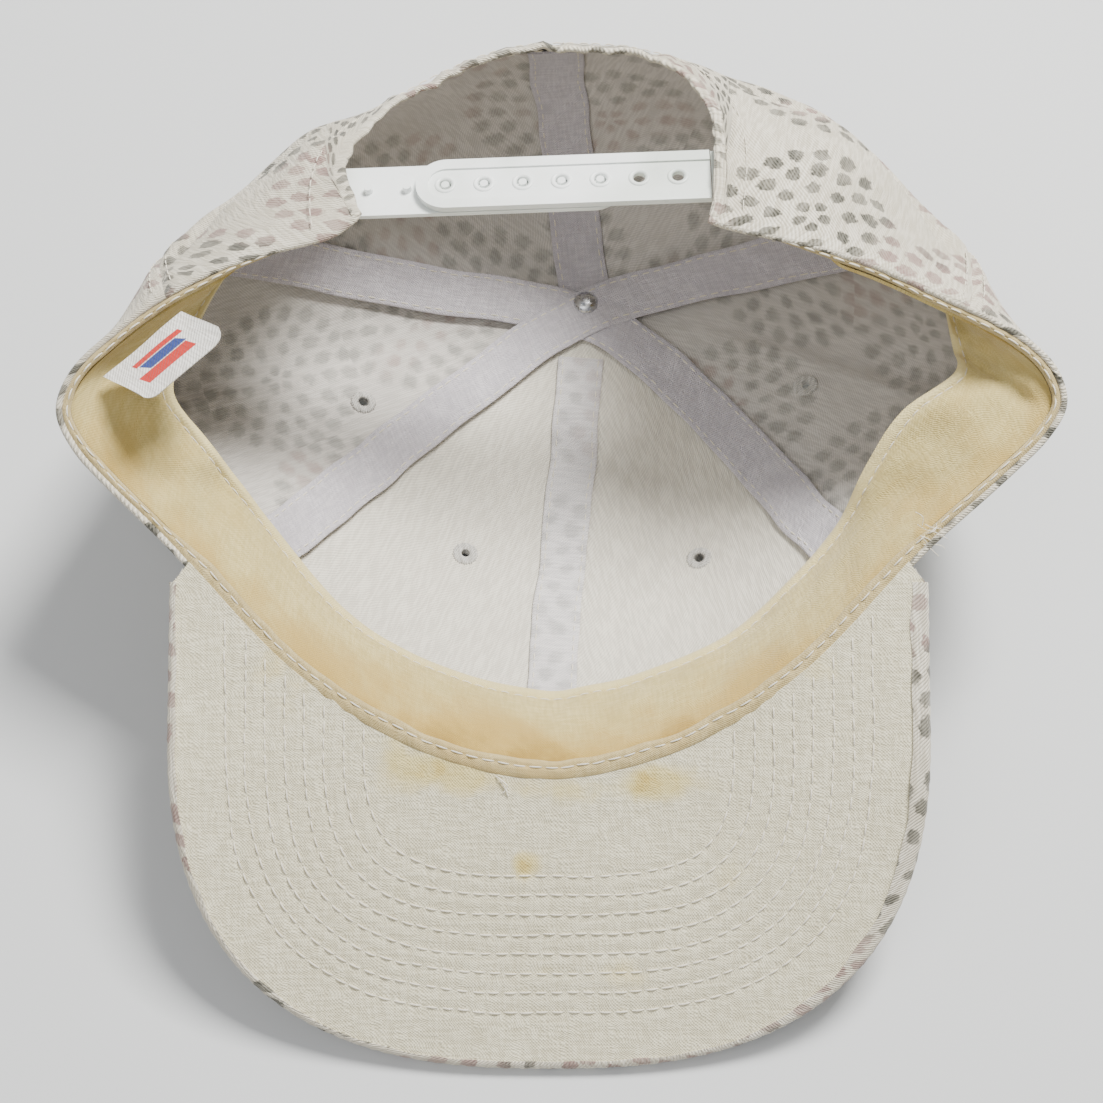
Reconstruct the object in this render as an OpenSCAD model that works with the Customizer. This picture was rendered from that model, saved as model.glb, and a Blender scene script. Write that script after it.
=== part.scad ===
// Six-panel cap with a flat visor and a snap strap, resting upside down on
// its top button and the front edge of its visor.
//
// Cap frame (millimetres): the sewn edge of the opening lies in the plane
// z = 0, the visor seam's middle is the origin, +x is to the side, +y runs
// back to the strap and +z points out of the opening.  placed() tilts that
// frame until the button and the visor edge both touch the table.

/* [Crown] */
// Depth of the crown from the opening to its top
crown_depth = 92; // [86:1:96]
// Distance from the visor seam back to the top
apex_back = 126; // [122:1:130]
// Sideways lean of the top
apex_side = 10.5; // [6:0.5:12]
// Width of the opening across its side corners
opening_width = 246; // [236:1:256]
// Length of the opening from the visor seam to the strap
opening_length = 139.5; // [134:0.5:144]
// Thickness of the outer cloth
cloth = 0.9; // [0.6:0.1:1.0]
// Distance along the edge from the front seam to each side seam
front_seam_s = 98; // [94:1:102]
// Distance along the edge from the front seam to each rear seam
rear_seam_s = 195; // [190:1:200]

/* [Rear opening] */
// Half the width of the gap between the rear flaps
arch_half = 47.5; // [44:0.5:50]
// Share of the panel height that the arch cuts away
arch_cut = 0.33; // [0.28:0.01:0.36]

/* [Visor] */
// Full width of the visor
visor_width = 185; // [176:1:190]
// Length of the visor in front of the seam's middle
visor_length = 71; // [64:1:76]
// Squareness of the visor's outline: 2 is an oval, larger is squarer
visor_square = 2.6; // [2.3:0.1:3]
// Rise of the visor's sides from its flat middle
visor_bend = 5; // [0:0.5:8]
// Thickness of the stiff board
board = 2.2; // [1.6:0.1:2.6]
// Thickness of each visor cover
cover = 0.6; // [0.5:0.1:0.8]

/* [Snap strap] */
// Width of both straps
strap_width = 15.5; // [14:0.5:16.5]
// Thickness of the strap's web
strap_web = 1.2; // [1:0.1:1.4]
// Distance between two snaps
snap_pitch = 9.7; // [9.4:0.1:9.8]
// Number of snaps on each strap
snap_count = 7; // [5:1:7]
// Diameter of a snap hole
hole_d = 3.1; // [3:0.1:3.4]
// Diameter of a peg
peg_d = 2.3; // [2:0.1:2.4]

/* [Trim] */
// Radius of the top button
button_r = 7.5; // [6.5:0.1:8.5]
// Height of the top button
button_h = 4.4; // [4:0.1:5]
// Outer radius of a vent eyelet
eyelet_r = 3.7; // [3.2:0.1:4.2]
// Width of the centre seam tapes
centre_tape = 13; // [11:0.5:15]
// Width of the crossing seam tapes
cross_tape = 14; // [12:0.5:16]

/* [Hidden] */

// The sewn edge, from the middle of the visor seam round to the middle of the back
kx = opening_width / 246;
ky = opening_length / 139.5;
rim_right = [for (p = [[0, 0], [32, 7], [62, 25], [93, 57], [113, 75], [122, 84], [126, 92],
    [123, 101], [114, 109], [98, 117], [75, 127], [45, 135], [0, 139.5]]) [p[0] * kx, p[1] * ky, 0]];
rim_left = [for (p = [[0, 0], [-32, 7], [-62, 25], [-92, 56], [-108, 72], [-116, 81], [-120, 90],
    [-117, 99], [-108, 108], [-94, 118], [-75, 127], [-45, 135], [0, 139.5]]) [p[0] * kx, p[1] * ky, 0]];
// The sweatband's free hem, one point for each point of the sewn edge
hem_right = [for (p = [[0, 20, -23], [25, 24.5, -24], [49, 36, -24.5], [72.5, 60.5, -22.5], [81, 79, -15],
    [89, 91, -12], [101.5, 100, -11], [101.5, 108, -15], [101, 117, -21], [98, 130, -25],
    [79, 146, -22], [50, 160, -17], [0, 160, -15]]) [p[0] * kx, p[1] * ky, p[2]]];
hem_left = [for (p = [[0, 20, -23], [-25, 24.5, -24], [-49, 37, -24.5], [-70.5, 61.5, -22.5], [-79, 74, -17],
    [-87, 85, -13], [-94, 95, -12], [-93, 104, -16], [-88, 117, -21], [-81, 130, -25],
    [-72, 145, -24], [-48, 159, -18], [0, 160, -15]]) [p[0] * kx, p[1] * ky, p[2]]];

// Chord length up to point i of a list
function chord(p, i) = i == 0 ? 0 : chord(p, i - 1) + norm(p[i] - p[i - 1]);
len_right = [for (i = [0:len(rim_right) - 1]) chord(rim_right, i)];
len_left = [for (i = [0:len(rim_left) - 1]) chord(rim_left, i)];
total_right = len_right[len(len_right) - 1];
total_left = len_left[len(len_left) - 1];

// Smooth curve through the points p whose distances along the edge are c
function cell(c, u, i = 0) = i >= len(c) - 2 || u <= c[i + 1] ? i : cell(c, u, i + 1);
function slope(p, c, k, a, b) = k == 0 ? a
    : k == len(p) - 1 ? b
    : (p[k + 1] - p[k - 1]) / (c[k + 1] - c[k - 1]);
function along(p, c, u, a, b) =
    let (i = cell(c, u), h = c[i + 1] - c[i], v = (u - c[i]) / h,
         m = slope(p, c, i, a, b) * h, n = slope(p, c, i + 1, a, b) * h)
    p[i] * (2 * v ^ 3 - 3 * v ^ 2 + 1) + m * (v ^ 3 - 2 * v ^ 2 + v)
        + p[i + 1] * (3 * v ^ 2 - 2 * v ^ 3) + n * (v ^ 3 - v ^ 2);
// Distances past the middle of the back carry on round the other side
function wrap(s) = s > total_right ? s - total_right - total_left
    : s < -total_left ? s + total_right + total_left : s;
function rim(s) = let (w = wrap(s)) w >= 0
    ? along(rim_right, len_right, w, [1, 0, 0], [-1, 0, 0])
    : along(rim_left, len_left, -w, [-1, 0, 0], [1, 0, 0]);
function hem(s) = s >= 0
    ? along(hem_right, len_right, min(s, total_right), [0.78, 0, 0], [-1, 0, 0])
    : along(hem_left, len_left, min(-s, total_left), [-0.78, 0, 0], [1, 0, 0]);
function unit(v) = v / norm(v);
// Outward direction of the sewn edge, in its plane
function outward(s) =
    let (d = s > 0.5 || s < -0.5 ? rim(s + 0.4) - rim(s - 0.4) : [1, 0, 0])
    unit([d[1], -d[0], 0]);

// Smooth steps between the values of a table
function eased(tab, u, i = 0) =
    i >= len(tab) - 2 || u <= tab[i + 1][0]
    ? let (w = max(0, min(1, (u - tab[i][0]) / (tab[i + 1][0] - tab[i][0]))))
        tab[i][1] + (tab[i + 1][1] - tab[i][1]) * w * w * (3 - 2 * w)
    : eased(tab, u, i + 1);
// Wall angle at the edge: 0 runs inward, 90 straight down, 180 outward
wall_angle_right = [[0, 60], [70, 69], [110, 72], [150, 78], [170, 100], [200, 133], [240, 156], [290, 170]];
wall_angle_left = [[0, 60], [70, 69], [110, 72], [150, 78], [170, 100], [200, 130], [240, 150], [290, 170]];
// How far the wall keeps that direction, and how far the top stays level
wall_reach_right = [[0, 60], [98, 56], [150, 54], [200, 76], [240, 86], [290, 84]];
wall_reach_left = [[0, 60], [98, 56], [150, 54], [200, 70], [240, 78], [290, 84]];
top_reach = [[0, 60], [98, 62], [150, 66], [200, 66], [240, 70], [290, 77]];
// Compass direction in which each line down the crown leaves the top
top_dir_right = [[0, -94], [98, -41], [195, 14], [total_right, 96]];
top_dir_left = [[0, -94], [98, -141], [195, -183], [total_left, -264]];

apex = [apex_side, apex_back, -crown_depth];
// Lowest edge of the visor and foot of the button decide the resting tilt
visor_low = board + 2 * cover;
foot = cloth + 0.3 + button_h;
tilt = let (a = apex_back + visor_length, b = crown_depth - visor_low)
    atan2(b, a) + asin(foot / norm([a, b]));
up = [0, sin(tilt), cos(tilt)];
back = [0, cos(tilt), -sin(tilt)];

// Point of the crown's inner face: s along the edge, t from the top (0) to the edge (1)
function crown(p, t) =
    let (s = wrap(p), r = rim(s), n = outward(s), q = abs(s),
         f = eased(s >= 0 ? wall_angle_right : wall_angle_left, q),
         w = -cos(f) * n + sin(f) * [0, 0, -1],
         z = lookup(q, s >= 0 ? top_dir_right : top_dir_left),
         b = apex + (cos(z) * [1, 0, 0] + sin(z) * back) * eased(top_reach, q),
         c = r + w * eased(s >= 0 ? wall_reach_right : wall_reach_left, q),
         k = 1 - t)
    apex * k ^ 3 + b * 3 * k ^ 2 * t + c * 3 * k * t ^ 2 + r * t ^ 3;
function crown_normal(s, t) =
    let (h = min(t, 0.01), e = t > 0.99 ? 0 : 0.01)
    unit(cross(crown(s + 0.6, t) - crown(s - 0.6, t), crown(s, t + e) - crown(s, t - h)));
// The same point moved out of the crown by d (or into it where d is negative)
function skin(s, t, d) = crown(s, t) + crown_normal(s, t) * d;

// Rear arch: position c across the back, positive to the right
arch_mid = -5.5;
function s_of(c) = c >= 0 ? total_right - c : -(total_left + c);
function arch_top(c) =
    let (q = abs(c - arch_mid) / arch_half, n = c < arch_mid ? 2.2 : 2.6)
    q >= 1 ? 1 : 1 - arch_cut * (1 - q ^ n) ^ (1 / n);
function edge_t(s) = abs(s) < 150 ? 1
    : arch_top(s >= 0 ? total_right - s : -(total_left + s));
arch_right = arch_mid + arch_half;
arch_left = arch_mid - arch_half;
seam_angle = acos(-arch_mid / arch_half);

// Closed thin solid between two faces of one grid: f(u, v, 0) inside, f(u, v, 1) outside
module sheet(us, vs, f) {
    m = len(us);
    n = len(vs);
    pts = [for (k = [0, 1]) for (u = us) for (v = vs) f(u, v, k)];
    o = m * n;
    faces = concat(
        [for (i = [0:m - 2]) for (j = [0:n - 2]) for (q = [0, 1])
            let (a = o + i * n + j, b = a + n, c = b + 1, d = a + 1) q == 0 ? [a, d, c] : [a, c, b]],
        [for (i = [0:m - 2]) for (j = [0:n - 2]) for (q = [0, 1])
            let (a = i * n + j, b = a + n, c = b + 1, d = a + 1) q == 0 ? [a, c, d] : [a, b, c]],
        [for (j = [0:n - 2]) for (q = [0, 1]) let (a = j, b = j + 1)
            q == 0 ? [o + b, o + a, a] : [o + b, a, b]],
        [for (j = [0:n - 2]) for (q = [0, 1]) let (a = (m - 1) * n + j, b = a + 1)
            q == 0 ? [o + a, o + b, b] : [o + a, b, a]],
        [for (i = [0:m - 2]) for (q = [0, 1]) let (a = i * n, b = a + n)
            q == 0 ? [o + a, o + b, b] : [o + a, b, a]],
        [for (i = [0:m - 2]) for (q = [0, 1]) let (a = i * n + n - 1, b = a + n)
            q == 0 ? [o + b, o + a, a] : [o + b, a, b]]);
    polyhedron(points = pts, faces = faces, convexity = 8);
}

function steps(a, b, n) = [for (i = [0:n]) a + (b - a) * i / n];
// Columns of each panel, closer together round the tight side corners
front_cols = steps(0, front_seam_s, 10);
side_cols = concat(steps(front_seam_s, 138, 4), steps(142, 178, 9), steps(186, rear_seam_s, 1));
rear_right_cols = concat(steps(rear_seam_s, s_of(arch_right) - 4, 7),
    [for (i = [0:10]) s_of(arch_mid + arch_half * cos(seam_angle * i / 10))]);
rear_left_cols = concat([for (i = [10:-1:0]) s_of(arch_mid - arch_half * cos((180 - seam_angle) * i / 10))],
    steps(s_of(arch_left) + 4, -rear_seam_s, 6));
function mirrored(a) = [for (i = [len(a) - 1:-1:0]) -a[i]];
rows = concat(steps(0, 0.62, 7), [0.715, 0.81, 0.905, 1]);
top_hole = 0.015;

module placed() {
    translate(seat) rotate([tilt, 0, 0]) children();
}
// Measured once so that the origin is the middle of the bounding box's floor
seat = [-3.1, -68.42, visor_length * sin(tilt) + visor_low * cos(tilt)];

// Rows keep their height up to the arch's level, and fan out above it
function row_t(s, v) = v <= 0.62 ? top_hole + (0.62 - top_hole) * v / 0.62
    : 0.62 + (edge_t(s) - 0.62) * (v - 0.62) / 0.38;
module panel(cols, colour) {
    color(colour) placed()
        sheet(cols, rows, function (s, v, k) skin(s, row_t(s, v), k * cloth));
}

// Straight round hole through a panel where an eyelet sits
module vent_hole(p) {
    at_skin(p[0], p[1]) cylinder(r = 2.05, h = 8, center = true, $fn = 32);
}
module at_skin(s, t) {
    n = crown_normal(s, t);
    placed() translate(crown(s, t)) rotate([0, acos(n[2]), atan2(n[1], n[0])]) children();
}

// Places of the four vents: distance along the edge and share of the way down
vent_front_left = [-44, 0.53];
vent_front_right = [58, 0.57];
vent_side_left = [-128, 0.4];
vent_side_right = [138, 0.41];
module front_panel_left() {
    difference() {
        panel(mirrored(front_cols), "ivory");
        vent_hole(vent_front_left);
    }
}
module front_panel_right() {
    difference() {
        panel(front_cols, "ivory");
        vent_hole(vent_front_right);
    }
}
module side_panel_left() {
    difference() {
        panel(mirrored(side_cols), "linen");
        vent_hole(vent_side_left);
    }
}
module side_panel_right() {
    difference() {
        panel(side_cols, "linen");
        vent_hole(vent_side_right);
    }
}
module rear_panel_left() {
    panel(rear_left_cols, "ivory");
}
module rear_panel_right() {
    panel(rear_right_cols, "ivory");
}

// Stiff woven lining behind each front panel
module buckram(side) {
    cols = side > 0 ? front_cols : mirrored(front_cols);
    color("whitesmoke") placed()
        sheet(cols, rows, function (s, v, k) skin(s, 0.03 + 0.93 * v, -0.8 + 0.6 * k));
}
module buckram_left() {
    difference() {
        buckram(-1);
        vent_hole(vent_front_left);
    }
}
module buckram_right() {
    difference() {
        buckram(1);
        vent_hole(vent_front_right);
    }
}

// Seam tape along one line of the crown; d is its depth inside the cloth
function tape_point(s, t, x, d) =
    let (n = crown_normal(s, t), a = unit(crown(s, t + 0.01) - crown(s, t - 0.01)), l = cross(a, n))
    crown(s, t) + l * x - n * (d + 0.006 * x * x);
module seam_tape(s, t0, t1, w, d) {
    color("thistle") placed()
        sheet(steps(-w / 2, w / 2, 2), steps(t0, t1, 14),
            function (x, t, k) tape_point(s, t, x, d + 0.5 * (1 - k)));
}
module front_centre_tape() {
    seam_tape(0, 0.1, 0.79, centre_tape, 1.2);
}
module rear_centre_tape() {
    seam_tape(total_right, 0.1, 0.94 - arch_cut, centre_tape + 2, 0.8);
}

// Tape that runs down one seam, over the top and down the opposite seam
module crossing_tape(sa, sb, d) {
    far = concat(steps(0.78, 0.08, 12), [0.04]);
    line = concat([for (t = far) [sa, t, -1]], [[0, 0, 0]], [for (i = [len(far) - 1:-1:0]) [sb, far[i], 1]]);
    za = lookup(abs(sa), sa >= 0 ? top_dir_right : top_dir_left);
    zb = lookup(abs(sb), sb >= 0 ? top_dir_right : top_dir_left);
    over = unit((cos(za) - cos(zb)) * [1, 0, 0] + (sin(za) - sin(zb)) * back);
    difference() {
        color("thistle") placed()
            sheet(steps(-cross_tape / 2, cross_tape / 2, 3), [for (i = [0:len(line) - 1]) i],
                function (x, i, k) let (p = line[i], e = d + 0.5 * (1 - k))
                    p[2] == 0 ? apex + cross(over, up) * x + up * e
                    : tape_point(p[0], p[1], x * p[2], e));
        at_apex() cylinder(r = 1.7, h = 20, center = true, $fn = 32);
    }
}
module cross_tape_lower() {
    crossing_tape(front_seam_s, -rear_seam_s, 1.8);
}
module cross_tape_upper() {
    crossing_tape(-front_seam_s, rear_seam_s, 2.6);
}

// Ends of the sweatband at the two rear flaps
band_left = s_of(arch_left) + 9;
band_right = s_of(arch_right) - 9;
band_cols = concat(steps(band_left, -182, 5), steps(-178, -138, 10), steps(-130, 130, 26),
    steps(138, 178, 10), steps(182, band_right, 6));
function band(s, v) = (rim(s) - outward(s) * 2.4 + [0, 0, -2]) * (1 - v) + hem(s) * v;
function band_normal(s, v) =
    unit(cross(band(s + 0.8, v) - band(s - 0.8, v), band(s, v) - band(s, v + 0.1)));
module sweatband() {
    color("wheat") placed()
        sheet(band_cols, steps(0, 1, 3),
            function (s, v, k) band(s, 1 - v) + band_normal(s, 1 - v) * (0.6 - 1.2 * (1 - k)));
}

// Folded edge that covers the seam all round the opening
module sweatband_piping() {
    color("beige") placed()
        sheet(band_cols, [0, 1, 2, 3], function (s, v, k)
            rim(s) - outward(s) * (4.6 - 1.35 * v) + [0, 0, k == 1 ? -0.8 : 0.3 + 0.6 * sin(60 * v)]);
}

// Turned hem inside the edge of the rear arch
module arch_binding() {
    span = [for (i = [0:24]) arch_mid - arch_half * 0.985 * cos(7.5 * i)];
    color("gainsboro") placed()
        sheet([for (i = [24:-1:0]) s_of(span[i])], [0, 1, 2], function (s, v, k)
            skin(s, arch_top(side_c(s)) - 0.05 + 0.022 * v, -1.55 + 0.9 * k));
}
function side_c(s) = s >= 0 ? total_right - s : -(total_left + s);

// The visor seam ends a little inside the visor's sides
visor_seam = max([for (s = [70:0.5:130]) if (rim(s)[0] < visor_width / 2 - 3.9) s]);
visor_side = rim(visor_seam)[1] - 4.5;
// Visor outline, by share of the half outline from the front middle to the root
visor_mid = 15;
function outline(u) =
    let (a = visor_width / 2, b = visor_length + visor_mid, n = visor_square, d = abs(u), f = 90 * d / 0.82,
         r = ((sin(f) / a) ^ n + (max(0, cos(f)) / b) ^ n) ^ (-1 / n))
    d <= 0.82 ? [sign(u) * r * sin(f), visor_mid - r * cos(f), 0]
    : [sign(u) * a, visor_mid + (visor_side - visor_mid) * (d - 0.82) / 0.18, 0];
function visor_lift(p) = visor_bend * max(0, abs(p[0]) - 30) ^ 2 / 3900 * min(1, max(0, (60 - p[1]) / 60));
function visor_point(u, v, grow) =
    let (r = rim(visor_seam * u) + outward(visor_seam * u) * 1.6, e = outline(u),
         g = grow * unit([e[0] * 0.8, min(0, e[1] + 22) - 1, 0]),
         p = r * (1 - v) + (e + g) * v)
    p + [0, 0, visor_lift(p)];
visor_cols = steps(-1, 1, 36);
module visor_layer(low, high, grow, colour) {
    color(colour) placed()
        sheet(visor_cols, steps(0, 1, 5),
            function (u, v, k) visor_point(u, 1 - v, grow) + [0, 0, k == 1 ? high : low]);
}
module visor_board() {
    visor_layer(-cover - board + 0.05, -cover - 0.05, -1, "silver");
}
module visor_top_cover() {
    visor_layer(-visor_low, -cover - board, 0, "ivory");
}
module visor_under_cover() {
    visor_layer(-cover, 0, -0.9, "antiquewhite");
}
// Outer cloth turned round the free edge of the visor
module visor_edge_wrap() {
    color("ivory") placed()
        sheet(visor_cols, [0, 1], function (u, v, k)
            visor_point(u, 1, -0.85 + 0.85 * k) + [0, 0, -cover - board + (board + cover + 0.1) * v]);
}

module at_apex() {
    placed() translate(apex) rotate([-tilt, 0, 0]) children();
}
module top_button() {
    color("ivory") at_apex()
        rotate_extrude($fn = 64)
            difference() {
                translate([0, -foot])
                    polygon([[0, 0], [3.6, 0], [5.4, 0.5], [button_r - 0.6, 1.7], [button_r, 2.9],
                        [button_r - 0.3, button_h - 0.3], [button_r - 1, button_h], [0, button_h]]);
                translate([-1, -foot + 1.6]) square([1 + 1.45, button_h]);
            }
}
module button_rivet() {
    color("silver") at_apex()
        rotate_extrude($fn = 64)
            polygon([[0, -foot + 1.7], [1.35, -foot + 1.7], [1.35, 3.3], [3.5, 3.3], [3.4, 3.9],
                [2.8, 4.5], [1.8, 4.95], [0.8, 5.15], [0, 5.2]]);
}

// Stitched ring through the crown at a vent
module eyelet(p, inner) {
    color("white") at_skin(p[0], p[1])
        rotate_extrude($fn = 48)
            polygon([[1.5, -inner - 0.6], [eyelet_r - 0.4, -inner - 0.6], [eyelet_r, -inner - 0.3],
                [eyelet_r - 0.2, -inner], [1.9, -inner], [1.9, cloth + 0.35], [eyelet_r - 0.2, cloth + 0.35],
                [eyelet_r, cloth + 0.6], [eyelet_r - 0.4, cloth + 0.9], [1.5, cloth + 0.9]]);
}
module eyelet_front_left() {
    eyelet(vent_front_left, 1.1);
}
module eyelet_front_right() {
    eyelet(vent_front_right, 1.1);
}
module eyelet_side_left() {
    eyelet(vent_side_left, 0.3);
}
module eyelet_side_right() {
    eyelet(vent_side_right, 0.3);
}

// Strap frame: x from the right flap towards the left one, y across the
// strap away from the opening, z out of the strap's outer face
strap_start = [41.6, 148.8, -9.6];
strap_span = 95.8;
strap_lean = 30;
strap_turn = 1.8;
strap_dip = 1.8;
module on_strap() {
    placed() translate(strap_start) rotate([0, 0, 180 + strap_turn]) rotate([0, strap_dip, 0])
        rotate([strap_lean, 0, 0]) mirror([0, 1, 0]) children();
}
// Strap outline from x0 with a full round end at x1
module strap_shape(x0, x1, w) {
    translate([x0, -w / 2]) square([x1 - w / 2 - x0, w]);
    translate([x1 - w / 2, 0]) circle(d = w, $fn = 64);
}
hole_first = 9.4;
hole_len = 75;
peg_first = strap_span - hole_first - 8 * snap_pitch;
peg_len = peg_first + (snap_count - 1) * snap_pitch + 6;
module hole_strap() {
    color("white") on_strap() difference() {
        union() {
            linear_extrude(strap_web) strap_shape(1.3, hole_len, strap_width);
            linear_extrude(strap_web + 0.5) difference() {
                strap_shape(1.3, hole_len, strap_width);
                strap_shape(-5, hole_len - 3, strap_width - 6);
            }
        }
        for (i = [0:snap_count - 1]) translate([hole_first + i * snap_pitch, 0, -1])
            cylinder(d = hole_d, h = 5, $fn = 32);
    }
}
module hole_strap_anchor() {
    color("white") on_strap() translate([-8, -strap_width / 2, 0]) cube([9, strap_width, strap_web]);
}
module peg_strap() {
    color("white") on_strap() translate([strap_span, 0, -0.35 - strap_web]) mirror([1, 0, 0]) union() {
        linear_extrude(strap_web) strap_shape(1.3, peg_len, strap_width);
        for (i = [0:snap_count - 1]) translate([peg_first + i * snap_pitch, 0, strap_web - 0.01])
            cylinder(d1 = peg_d, d2 = peg_d - 0.3, h = 1.7, $fn = 32);
    }
}
module peg_strap_anchor() {
    color("white") on_strap() translate([strap_span - 1, -strap_width / 2, -0.35 - strap_web])
        cube([7, strap_width, strap_web]);
}

// Folded cloth label, sewn into the edge seam by its long side
label_at = [-109.5, 98.5, -1.6];
label_turn = 40;
label_len = 25;
label_wide = 18;
label_drop = 30;
module size_label() {
    color("white") placed() translate(label_at) rotate([0, 0, label_turn]) rotate([-label_drop, 0, 0])
        mirror([0, 1, 0]) translate([0, 0.4, -0.35]) linear_extrude(0.7) label_shape();
}
module label_shape() {
    square([label_len, label_wide - 5]);
    translate([5, label_wide - 10]) square([label_len - 10, 10]);
    for (x = [5, label_len - 5]) translate([x, label_wide - 5]) circle(r = 5, $fn = 32);
}

front_panel_left();
front_panel_right();
side_panel_left();
side_panel_right();
rear_panel_left();
rear_panel_right();
buckram_left();
buckram_right();
front_centre_tape();
rear_centre_tape();
cross_tape_upper();
cross_tape_lower();
sweatband();
sweatband_piping();
arch_binding();
visor_board();
visor_top_cover();
visor_under_cover();
visor_edge_wrap();
top_button();
button_rivet();
eyelet_front_left();
eyelet_front_right();
eyelet_side_left();
eyelet_side_right();
hole_strap();
hole_strap_anchor();
peg_strap();
peg_strap_anchor();
size_label();
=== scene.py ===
"""Six-panel snapback cap, lying upside down on its button and visor edge.

Shapes are worked out in the cap's own frame, in millimetres, where the sewn edge of the opening
is z = 0, and placed() sets them on the floor. A point of the crown has s, its distance along
that edge from the front seam (negative on the left), and t, from 0 at the button to 1 at the
edge."""
from math import acos, cos, pi, radians, sin, sqrt

import bmesh
import bpy
import numpy as np
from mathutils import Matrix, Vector


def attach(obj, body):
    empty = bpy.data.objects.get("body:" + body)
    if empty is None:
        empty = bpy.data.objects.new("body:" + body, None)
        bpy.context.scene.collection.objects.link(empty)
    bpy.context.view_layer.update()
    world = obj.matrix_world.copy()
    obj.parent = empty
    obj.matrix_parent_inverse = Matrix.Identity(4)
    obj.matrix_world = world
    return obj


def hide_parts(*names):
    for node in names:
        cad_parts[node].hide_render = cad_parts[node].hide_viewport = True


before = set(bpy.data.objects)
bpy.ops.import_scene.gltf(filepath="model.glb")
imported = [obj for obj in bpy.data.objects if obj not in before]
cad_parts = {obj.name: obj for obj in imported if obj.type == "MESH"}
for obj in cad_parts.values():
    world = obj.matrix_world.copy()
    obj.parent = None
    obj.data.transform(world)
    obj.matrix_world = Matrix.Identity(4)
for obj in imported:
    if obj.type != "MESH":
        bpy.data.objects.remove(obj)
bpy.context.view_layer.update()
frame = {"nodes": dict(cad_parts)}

# how the cap lies: its lean, its frame's origin, and the floor's directions up and back
TILT = radians(25.70121642655123)
SEAT = np.array([-3.1, -68.42, 33.85478383])
TURN = np.array([[1, 0, 0], [0, cos(TILT), -sin(TILT)], [0, sin(TILT), cos(TILT)]])
UP = np.array([0, sin(TILT), cos(TILT)])
BACK = np.array([0, cos(TILT), -sin(TILT)])
Z = np.array([0.0, 0, 1])


def placed(p):
    return (np.asarray(p, float) @ TURN.T + SEAT) * 0.001


def stack(*parts):
    return np.stack(parts, -1)


def unit(v):
    v = np.asarray(v, float)
    return v / np.maximum(np.linalg.norm(v, axis=-1, keepdims=True), 1e-12)


def smooth(x, a=0.0, b=1.0):
    w = np.clip((np.asarray(x, float) - a) / (b - a), 0, 1)
    return w * w * (3 - 2 * w)


def span(x, a, b, c, d):
    """Rises from 0 to 1 between a and b, and falls back to 0 between c and d."""
    return smooth(x, a, b) * (1 - smooth(x, c, d))


def bell(x, mid, width):
    return np.exp(-(((np.asarray(x, float) - mid) / width) ** 2))


def ripple(p, size, seed):
    """Smooth seeded noise of 3-D points, about -1 to 1, with waves near that size."""
    rng = np.random.default_rng(seed)
    total = 0
    for _ in range(7):
        d = unit(rng.normal(size=3)) * (0.65 + 0.7 * rng.random())
        total = total + np.sin(np.asarray(p) @ d * (2 * pi / size) + rng.random() * 6.28)
    return total / 3.2


# ---- the cap's surfaces, as in the CAD source
def chords(p):
    return np.r_[0, np.cumsum(np.linalg.norm(np.diff(p, axis=0), axis=1))]


class Line:
    """Smooth curve through points p at distances c, with slopes a and b at its ends."""

    def __init__(self, p, c, a, b):
        self.p, self.c = p, c
        self.m = np.vstack([a, (p[2:] - p[:-2]) / (c[2:] - c[:-2])[:, None], b])

    def at(self, u):
        c, p, m = self.c, self.p, self.m
        i = np.clip(np.searchsorted(c, u, side="left") - 1, 0, len(c) - 2)
        h = (c[i + 1] - c[i])[..., None]
        v = (np.asarray(u) - c[i])[..., None] / h
        return (p[i] * (2 * v**3 - 3 * v**2 + 1) + m[i] * h * (v**3 - 2 * v**2 + v)
                + p[i + 1] * (3 * v**2 - 2 * v**3) + m[i + 1] * h * (v**3 - v**2))


def flat(p):
    return np.array([[x, y, 0] for x, y in p], float)


# the opening's edge and the sweatband's lower edge, right and left, from the front backwards
RR = flat([(0, 0), (32, 7), (62, 25), (93, 57), (113, 75), (122, 84), (126, 92), (123, 101),
           (114, 109), (98, 117), (75, 127), (45, 135), (0, 139.5)])
RL = flat([(0, 0), (-32, 7), (-62, 25), (-92, 56), (-108, 72), (-116, 81), (-120, 90),
           (-117, 99), (-108, 108), (-94, 118), (-75, 127), (-45, 135), (0, 139.5)])
HR = np.array([(0, 20, -23), (25, 24.5, -24), (49, 36, -24.5), (72.5, 60.5, -22.5),
               (81, 79, -15), (89, 91, -12), (101.5, 100, -11), (101.5, 108, -15),
               (101, 117, -21), (98, 130, -25), (79, 146, -22), (50, 160, -17),
               (0, 160, -15)], float)
HL = np.array([(0, 20, -23), (-25, 24.5, -24), (-49, 37, -24.5), (-70.5, 61.5, -22.5),
               (-79, 74, -17), (-87, 85, -13), (-94, 95, -12), (-93, 104, -16),
               (-88, 117, -21), (-81, 130, -25), (-72, 145, -24), (-48, 159, -18),
               (0, 160, -15)], float)
CR, CL = chords(RR), chords(RL)
TR, TL = CR[-1], CL[-1]
RIM_R, RIM_L = Line(RR, CR, [1, 0, 0], [-1, 0, 0]), Line(RL, CL, [-1, 0, 0], [1, 0, 0])
HEM_R, HEM_L = Line(HR, CR, [0.78, 0, 0], [-1, 0, 0]), Line(HL, CL, [-0.78, 0, 0], [1, 0, 0])

# distances along the edge: the seams in front of and behind a side panel, and the flaps' start
FORE, AFT, FLAP = 98, 195, 150
SEAMS = [0, FORE, AFT, TR, -FORE, -AFT, -TL]


def wrap(s):
    s = np.asarray(s, float)
    return np.where(s > TR, s - TR - TL, np.where(s < -TL, s + TR + TL, s))


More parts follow.
